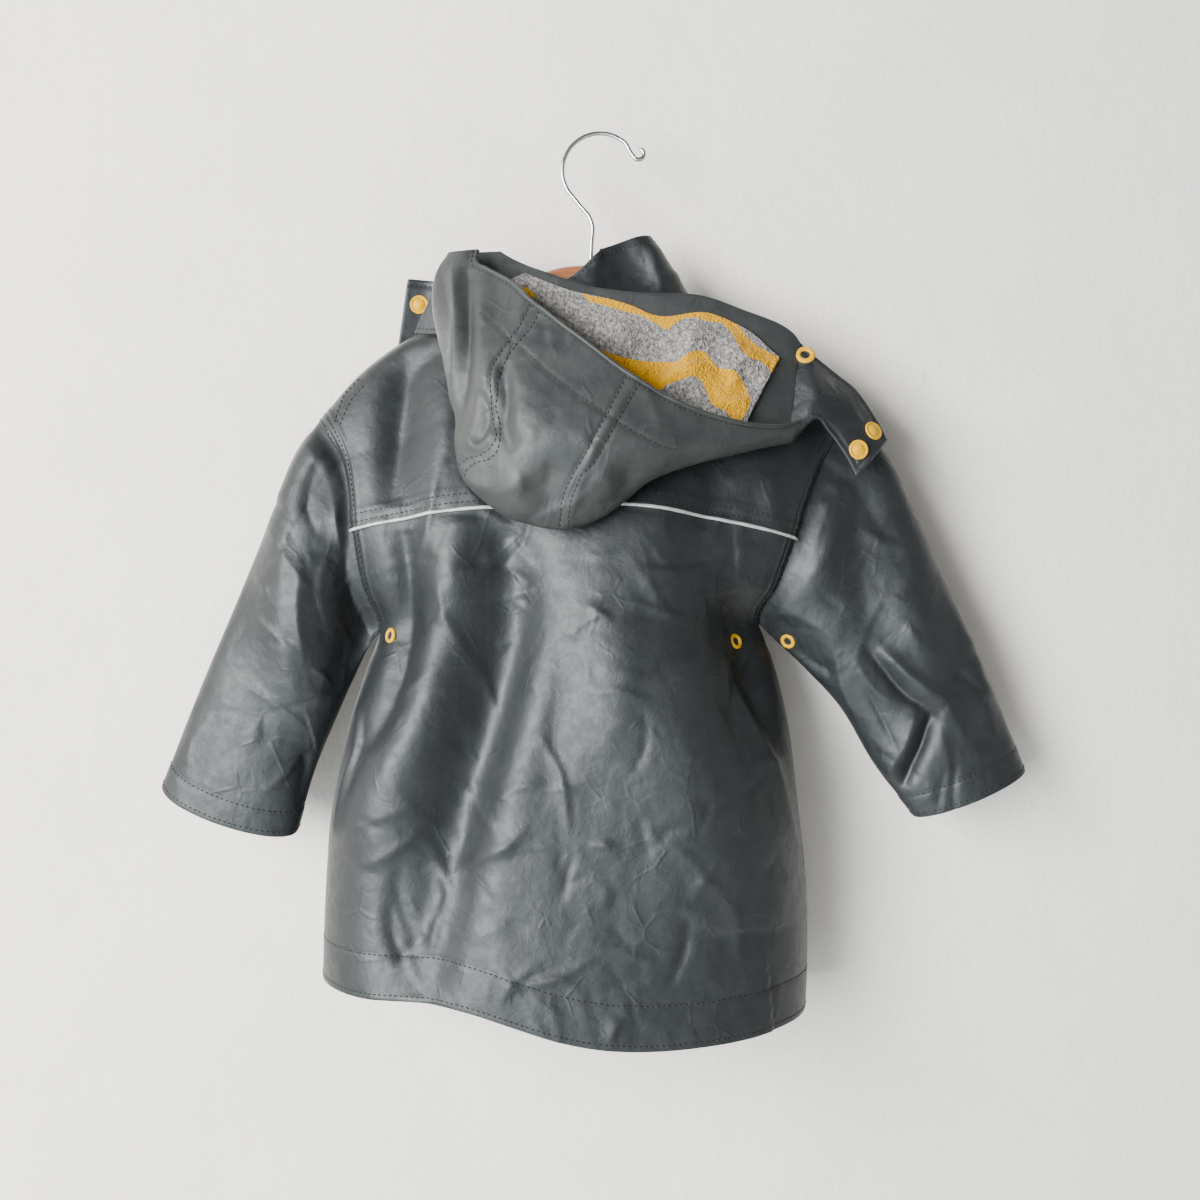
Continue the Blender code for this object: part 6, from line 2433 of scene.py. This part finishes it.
@dataclass
class HoodEnds:
    """What closes the hood under the chin: the right flap, the left tab and the neck lap."""

    noise: ClothNoise = ClothNoise(41)
    flap_bow: float = 4.0
    flap_crumples: Sequence[Point] = ((0.7, 24, 18), (0.3, 9, 9))
    edge_row: float = 3.0
    flap: ClothGrid = field(init=False)
    tab: ClothGrid = field(init=False)

    def __post_init__(self) -> None:
        """Works out both surfaces, which the snaps need too."""
        self.flap = self._flap_surface()
        self.tab = self._strip(TAB_CUTS, 60, 36)

    def _flap_surface(self) -> ClothGrid:
        """The flap: the hood's last cut carried on through lines from face edge to neck edge.

        Each line bows out between its ends by `flap_bow` times the sine of its part.

        Returns:
            The outer face.
        """
        parts = np.linspace(0.0, 1.0, 41)
        cuts = [Hood().plain(np.array([float(LAST_CUT)]), 1.0 + parts)[:, 0]]
        for ends in FLAP_CUTS:
            face, neck = np.array(ends, float)
            line = face + (neck - face) * parts[:, None]
            line[:, 1] -= self.flap_bow * np.sin(math.pi * parts)
            cuts.append(line)
        stations = np.arange(len(cuts))
        points = smooth_rows(stations, np.stack(cuts), np.linspace(0.0, stations[-1], 66))
        points = np.swapaxes(points, 0, 1)
        inward = self._forwards(points)
        points = points - 0.5 * inward
        height = self.noise.mixed(points, self.flap_crumples)
        edge = self._from_edges(ClothGrid(points, inward))
        height = height * smooth_step(edge / 6.0) - 0.45 * bell(edge - self.edge_row, 1.0)
        return ClothGrid(points, inward).raised(height)

    @staticmethod
    def _forwards(points: Array) -> Array:
        """Directions square to a grid of points, on the side that lies in front of the coat."""
        inward = inward_normals(points, 1.0)
        return inward if inward[..., 1].mean() > 0.0 else -inward

    @staticmethod
    def _from_edges(cloth: ClothGrid) -> Array:
        """How far each point is from the nearest edge, leaving out the first column."""
        across = cloth.across()
        return np.minimum(np.minimum(cloth.down(), cloth.up()), across[:, -1:] - across)

    def _strip(self, ends: Sequence[tuple[Any, Any]], columns: int, rows: int) -> ClothGrid:
        """A small piece between a top and a bottom edge.

        Args:
            ends: The two edges' points in a few cuts.
            columns: How many columns to make.
            rows: How many rows.

        Returns:
            The outer face.
        """
        table = np.array(ends, float)
        lines = smooth_rows(np.arange(len(table)), table, np.linspace(0.0, len(table) - 1.0, columns))
        down = np.linspace(0.0, 1.0, rows)[:, None, None]
        points = lines[:, 0][None] + (lines[:, 1] - lines[:, 0])[None] * down
        inward = self._forwards(points)
        edge = self._from_edges(ClothGrid(points, inward))
        height = 0.5 * self.noise.creasing(points, 20.0, 16.0) * smooth_step(edge / 5.0)
        return ClothGrid(points, inward).raised(height - 0.45 * bell(edge - self.edge_row, 1.0))

    def build(self, finishes: Finishes) -> list[Any]:
        """Makes the three pieces and their stitches.

        Args:
            finishes: The materials.

        Returns:
            The objects.
        """
        lap = self._strip(NECK_LAP_CUTS, 48, 30)
        shapes = (
            ("chin_flap_right", self.flap, DOUBLE, FLAP_CUT),
            ("chin_tab_left", self.tab, DOUBLE, TAB_CUT),
            ("hood_neck_lap", lap, CLOTH, LAP_CUT),
        )
        pieces = []
        thread = Thread(pitch=3.0, length=2.2, width=0.7)
        for node, cloth, thickness, cut in shapes:
            pieces.append(cloth_piece(node, cloth, thickness, (finishes.cloth,), cut))
            thread.sew(cloth.row_down(self.edge_row))
            thread.sew(cloth.row_up(self.edge_row))
        for line in (FLAP_LOOP, FLAP_CURVE):
            thread.sew(self.flap.under(line, 0.8))
        pieces.append(thread.piece("hood_end", finishes))
        return pieces


# ---------------------------------------------------------------- trim


@dataclass
class Trim:
    """Snap caps, the ring snap and the eyelets, each standing where its solid does."""

    cap_radius: float = 6.2
    cap_height: float = 2.4
    cap_rim: float = 0.75
    ring_snap: Pair = (12.4, 6.0)  # across the ring, and its hole
    eyelet: Pair = (10.0, 5.0)
    sides: int = 36

    def _stand(self, node: str, cloth: ClothGrid) -> tuple[Array, Array]:
        """The foot and axis of a small piece: its solid's middle, brought onto the cloth.

        Args:
            node: The solid.
            cloth: What it stands on.

        Returns:
            The foot and the axis.
        """
        low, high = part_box(node)
        middle = (np.array(low) + np.array(high)) / 2 / MM
        flat = cloth.points.reshape(-1, 3)
        near = np.argsort(np.linalg.norm(flat - middle, axis=1))[:12]
        axis = unit(-cloth.inward.reshape(-1, 3)[near].mean(axis=0))
        anchor = flat[near].mean(axis=0)
        return middle + axis * ((anchor - middle) @ axis), axis

    def _cap(self, node: str, foot: Array, axis: Array, finishes: Finishes) -> Any:
        """A cap: a rounded rim, a shallow ring groove and a low dome.

        Args:
            node: The solid that it replaces.
            foot: Where it stands.
            axis: The way that it faces.
            finishes: The materials.

        Returns:
            The object.
        """
        radius = self.cap_radius
        turn = np.linspace(-0.35 * math.pi, 0.5 * math.pi, 9)
        rim = np.stack([np.cos(turn), np.sin(turn)], axis=1) * self.cap_rim + (radius - self.cap_rim, 0.9)
        inside = np.array([[radius - 1.5, 1.45], [radius - 1.9, 1.2], [radius - 2.3, 1.3]])
        across = np.linspace(radius - 2.7, 0.35, 8)
        dome = np.stack([across, self.cap_height - 0.95 * (across / (radius - 2.3)) ** 2], axis=1)
        profile = np.concatenate([rim, inside, dome])
        points, faces = lofted(spun(profile, foot - 0.3 * axis, axis, self.sides))
        piece = new_piece(f"{node}_cap", points, faces, [finishes.plastic])
        return dressed(piece, [node])

    def _ring(self, node: str, size: Pair, foot: Array, axis: Array, finishes: Finishes) -> Any:
        """A flared ring round a dark cup.

        The ring's profile is half an ellipse from its hole to its rim; the cup's goes down
        from the hole to a flat floor.

        Args:
            node: The solid that it replaces.
            size: Across the ring, and across its hole.
            foot: Where it stands.
            axis: The way that it faces.
            finishes: The materials.

        Returns:
            The object.
        """
        outer, hole = size
        turn = np.linspace(0.0, math.pi, 11)
        middle = (outer + hole) / 4
        half = (outer - hole) / 4
        flare = np.stack([middle + half * np.cos(turn), 0.15 + 1.05 * np.sin(turn)], axis=1)
        cup = np.array([[hole / 2 - 0.15, -0.1], [hole / 2 - 0.35, -0.35], [0.4, -0.45]])
        rings = spun(np.concatenate([[[outer / 2, -0.6]], flare, cup]), foot, axis, self.sides)
        points, faces = lofted(rings)
        kinds = np.zeros((len(rings) + 1, self.sides))
        kinds[len(flare) + 1 :] = 1
        piece = new_piece(f"{node}_ring", points, faces, [finishes.plastic, finishes.cup], kinds.ravel())
        return dressed(piece, [node])

    def build(
        self, body: CoatBody, sleeves: Sequence[Sleeve], ends: HoodEnds, finishes: Finishes
    ) -> list[Any]:
        """Makes every snap and eyelet.

        Args:
            body: The coat's body.
            sleeves: The left and the right sleeve.
            ends: The hood's ends.
            finishes: The materials.

        Returns:
            The objects.
        """
        closure = self._closure(body)
        back = body.dressed_back()
        caps = (
            ("hood_snap_left", ends.tab),
            ("hood_snap_right_1", ends.flap),
            ("hood_snap_right_2", ends.flap),
            *((f"front_snap_{number}", closure) for number in range(1, 6)),
        )
        rings = (
            ("hood_ring_snap", self.ring_snap, ends.flap),
            ("eyelet_body_left", self.eyelet, back),
            ("eyelet_body_right", self.eyelet, back),
            ("eyelet_sleeve_left", self.eyelet, sleeves[0].dressed_surface(body)),
            ("eyelet_sleeve_right", self.eyelet, sleeves[1].dressed_surface(body)),
        )
        pieces = [self._cap(node, *self._stand(node, cloth), finishes) for node, cloth in caps]
        for node, size, cloth in rings:
            pieces.append(self._ring(node, size, *self._stand(node, cloth), finishes))
        return pieces

    @staticmethod
    def _closure(body: CoatBody) -> ClothGrid:
        """The upper layer of the closed front, where its caps stand.

        Args:
            body: The coat's body.

        Returns:
            Its outer face.
        """
        near = np.abs(body.angles) <= PLACKET_ANGLE
        front = ClothGrid(body.front.points[:, near], body.front.inward[:, near])
        return front.raised(np.full(front.points.shape[:2], SHELL + 2 * SEAM_GAP))


# ---------------------------------------------------------------- hanger


@dataclass
class Hanger:
    """The wooden bar and its wire hook."""

    bar_steps: int = 90
    bar_sides: int = 28
    bar_rounding: float = 5.0
    hook_steps: int = 200
    hook_sides: int = 18

    def build(self, finishes: Finishes) -> list[Any]:
        """Makes the bar and the hook."""
        return [self._bar(finishes), self._hook(finishes)]

    def _bar(self, finishes: Finishes) -> Any:
        """Rounded cuts along the bar: a superellipse whose height and thickness change.

        A cut is (sign(cos t) |cos t|^0.8 * thickness / 2, sign(sin t) |sin t|^0.8 * height / 2).

        Args:
            finishes: The materials.

        Returns:
            The object.
        """
        table = np.array(BAR_CUTS)
        outs = np.concatenate([-table[:0:-1, 0], table[:, 0]])
        shape = np.concatenate([table[:0:-1, 1:], table[:, 1:]])
        at = np.linspace(outs[0], outs[-1], self.bar_steps + 1)
        cut = smooth_rows(outs, shape, at)
        end = np.clip(np.minimum(at - outs[0], outs[-1] - at) / self.bar_rounding, 0.0, 1.0)
        small = np.sqrt(end * (2.0 - end))[:, None]
        turn = np.arange(self.bar_sides) * 2 * math.pi / self.bar_sides
        across = np.sign(np.cos(turn)) * np.abs(np.cos(turn)) ** 0.8
        up = np.sign(np.sin(turn)) * np.abs(np.sin(turn)) ** 0.8
        rings = np.empty((len(at), self.bar_sides, 3))
        rings[..., 0] = (HANGER_MIDDLE_X + at)[:, None]
        rings[..., 1] = cut[:, 2:3] / 2 * small * across
        rings[..., 2] = (cut[:, 0:1] - cut[:, 1:2] / 2) + cut[:, 1:2] / 2 * small * up
        points, faces = lofted(rings)
        piece = new_piece("hanger_bar_wood", points, faces, [finishes.wood])
        return dressed(piece, ["hanger_bar"])

    def _hook(self, finishes: Finishes) -> Any:
        """Round wire along the stem, the hook's arc and its small end loop.

        Args:
            finishes: The materials.

        Returns:
            The object.
        """
        angles = np.radians(np.linspace(HOOK_FROM_DEG, HOOK_TO_DEG, 18))
        centre_z = -(HOOK_RADIUS - WIRE_DIAMETER / 2)
        arc = np.stack([HOOK_RADIUS * np.cos(angles), centre_z + HOOK_RADIUS * np.sin(angles)], axis=1)
        flat = np.concatenate([np.array(HOOK_STEM), arc, np.array(HOOK_EYE)])
        passed = lengths_along(flat)
        line = smooth_rows(passed, flat, np.linspace(0.0, passed[-1], self.hook_steps))
        path = np.stack([line[:, 0], 0 * line[:, 0], line[:, 1]], axis=-1)
        end = np.clip(np.linspace(passed[-1], 0.0, self.hook_steps) / (WIRE_DIAMETER / 2), 0.0, 1.0)
        radius = WIRE_DIAMETER / 2 * np.sqrt(np.maximum(end * (2.0 - end), 0.02))
        points, faces = lofted(tube_rings(path, radius, self.hook_sides))
        piece = new_piece("hanger_hook_wire", points, faces, [finishes.wire])
        return dressed(piece, ["hanger_hook"])


# ---------------------------------------------------------------- the room


@dataclass
class Studio:
    """The wall and floor behind the coat, the lights and the eye."""

    half: float = 2600.0
    floor_z: float = -2000.0
    near: float = -3400.0
    paper: Colour = (0.27, 0.27, 0.265, 1.0)

    def build(self) -> None:
        """Makes the room, its lights and the camera."""
        low, high, near, far = self.floor_z, self.half, self.near, WALL_BEHIND
        left, right = -self.half, self.half
        wall = self._sheet(
            "room_wall",
            [(left, far, low), (right, far, low), (right, far, high), (left, far, high)],
            Plaster(),
        )
        wall.visible_shadow = False
        self._sheet(
            "room_floor",
            [(x, y, low) for x, y in ((left, near), (right, near), (right, -near), (left, -near))],
            StudioPaper("room_floor_finish", (0.63, 0.62, 0.59, 1.0)),
        )
        paper = StudioPaper("studio_paper_finish", self.paper)
        for name, start, end in (
            ("room_left", (left, near), (left, far)),
            ("room_right", (right, far), (right, near)),
            ("room_near", (right, near), (left, near)),
        ):
            self._sheet(name, [(*start, low), (*end, low), (*end, high), (*start, high)], paper)
        self._light("window", (-1.62, -1.95, 0.0), -0.37, (1.1, 2.3), 262.0, (1.0, 1.0, 0.97))
        self._light("low_bounce", (-0.7, -1.7, -1.3), -0.5, (1.6, 0.7), 11.0, (0.58, 0.80, 1.0))
        self._light("front_window", (-1.5, 1.9, 0.3), -0.35, (1.2, 1.8), 110.0, (1.0, 0.99, 0.97))
        world = bpy.data.worlds.new("room_air")
        world.use_nodes = True
        air = world.node_tree.nodes["Background"]
        air.inputs["Color"].default_value = (0.93, 0.96, 1.0, 1.0)
        air.inputs["Strength"].default_value = 0.01
        bpy.context.scene.world = world
        self._eye()

    @staticmethod
    def _sheet(name: str, corners: Sequence[Point], finish: Any) -> Any:
        """One flat face of the room, which faces its middle.

        Args:
            name: Its name.
            corners: Its corners, in millimetres.
            finish: What it is made of.

        Returns:
            The object.
        """
        mesh = bpy.data.meshes.new(name)
        mesh.from_pydata([tuple(value * MM for value in corner) for corner in corners], [], [(0, 1, 2, 3)])
        mesh.materials.append(finish.make())
        piece = bpy.data.objects.new(name, mesh)
        bpy.context.scene.collection.objects.link(piece)
        return piece

    @staticmethod
    def _light(name: str, place: Point, aim: float, size: Pair, power: float, colour: Point) -> None:
        """A rectangular soft light that looks at the coat.

        Args:
            name: Its name.
            place: Where it is, in metres.
            aim: The height under the hook that it looks at, in metres.
            size: Its width and height, in metres.
            power: In watts.
            colour: Its colour.
        """
        lamp = bpy.data.lights.new(name, "AREA")
        lamp.shape = "RECTANGLE"
        lamp.size, lamp.size_y = size
        lamp.energy = power
        lamp.color = colour
        light = bpy.data.objects.new(name, lamp)
        light.visible_camera = False
        light.location = place
        light.rotation_euler = (Vector((0.0, 0.0, aim)) - Vector(place)).to_track_quat("-Z", "Z").to_euler()
        bpy.context.scene.collection.objects.link(light)

    @staticmethod
    def _eye() -> None:
        """The camera, level and square to the coat's back."""
        lens = bpy.data.cameras.new("eye")
        lens.lens = LENS
        lens.sensor_width = 36.0
        camera = bpy.data.objects.new("eye", lens)
        camera.location = (0.0, -EYE_DISTANCE * MM, EYE_HEIGHT * MM)
        camera.rotation_euler = (math.pi / 2, 0.0, 0.0)
        bpy.context.scene.collection.objects.link(camera)
        bpy.context.scene.camera = camera


def main() -> None:
    """Builds the room, the coat and its hanger, in order."""
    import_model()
    finishes = Finishes.make()
    Studio().build()
    body = CoatBody()
    left = Sleeve(Side.LEFT, LEFT_OUTER_EDGE, LEFT_INNER_EDGE, 10.0, SLEEVE_LEFT_CREASES, ClothNoise(51))
    right = Sleeve(Side.RIGHT, RIGHT_OUTER_EDGE, RIGHT_INNER_EDGE, 4.0, SLEEVE_RIGHT_CREASES, ClothNoise(57))
    ends = HoodEnds()
    body.build(finishes)
    left.build(body, finishes)
    right.build(body, finishes)
    Collar().build(body, finishes)
    Hood().build(finishes)
    ends.build(finishes)
    Trim().build(body, (left, right), ends, finishes)
    Hanger().build(finishes)


if __name__ == "__main__":
    main()
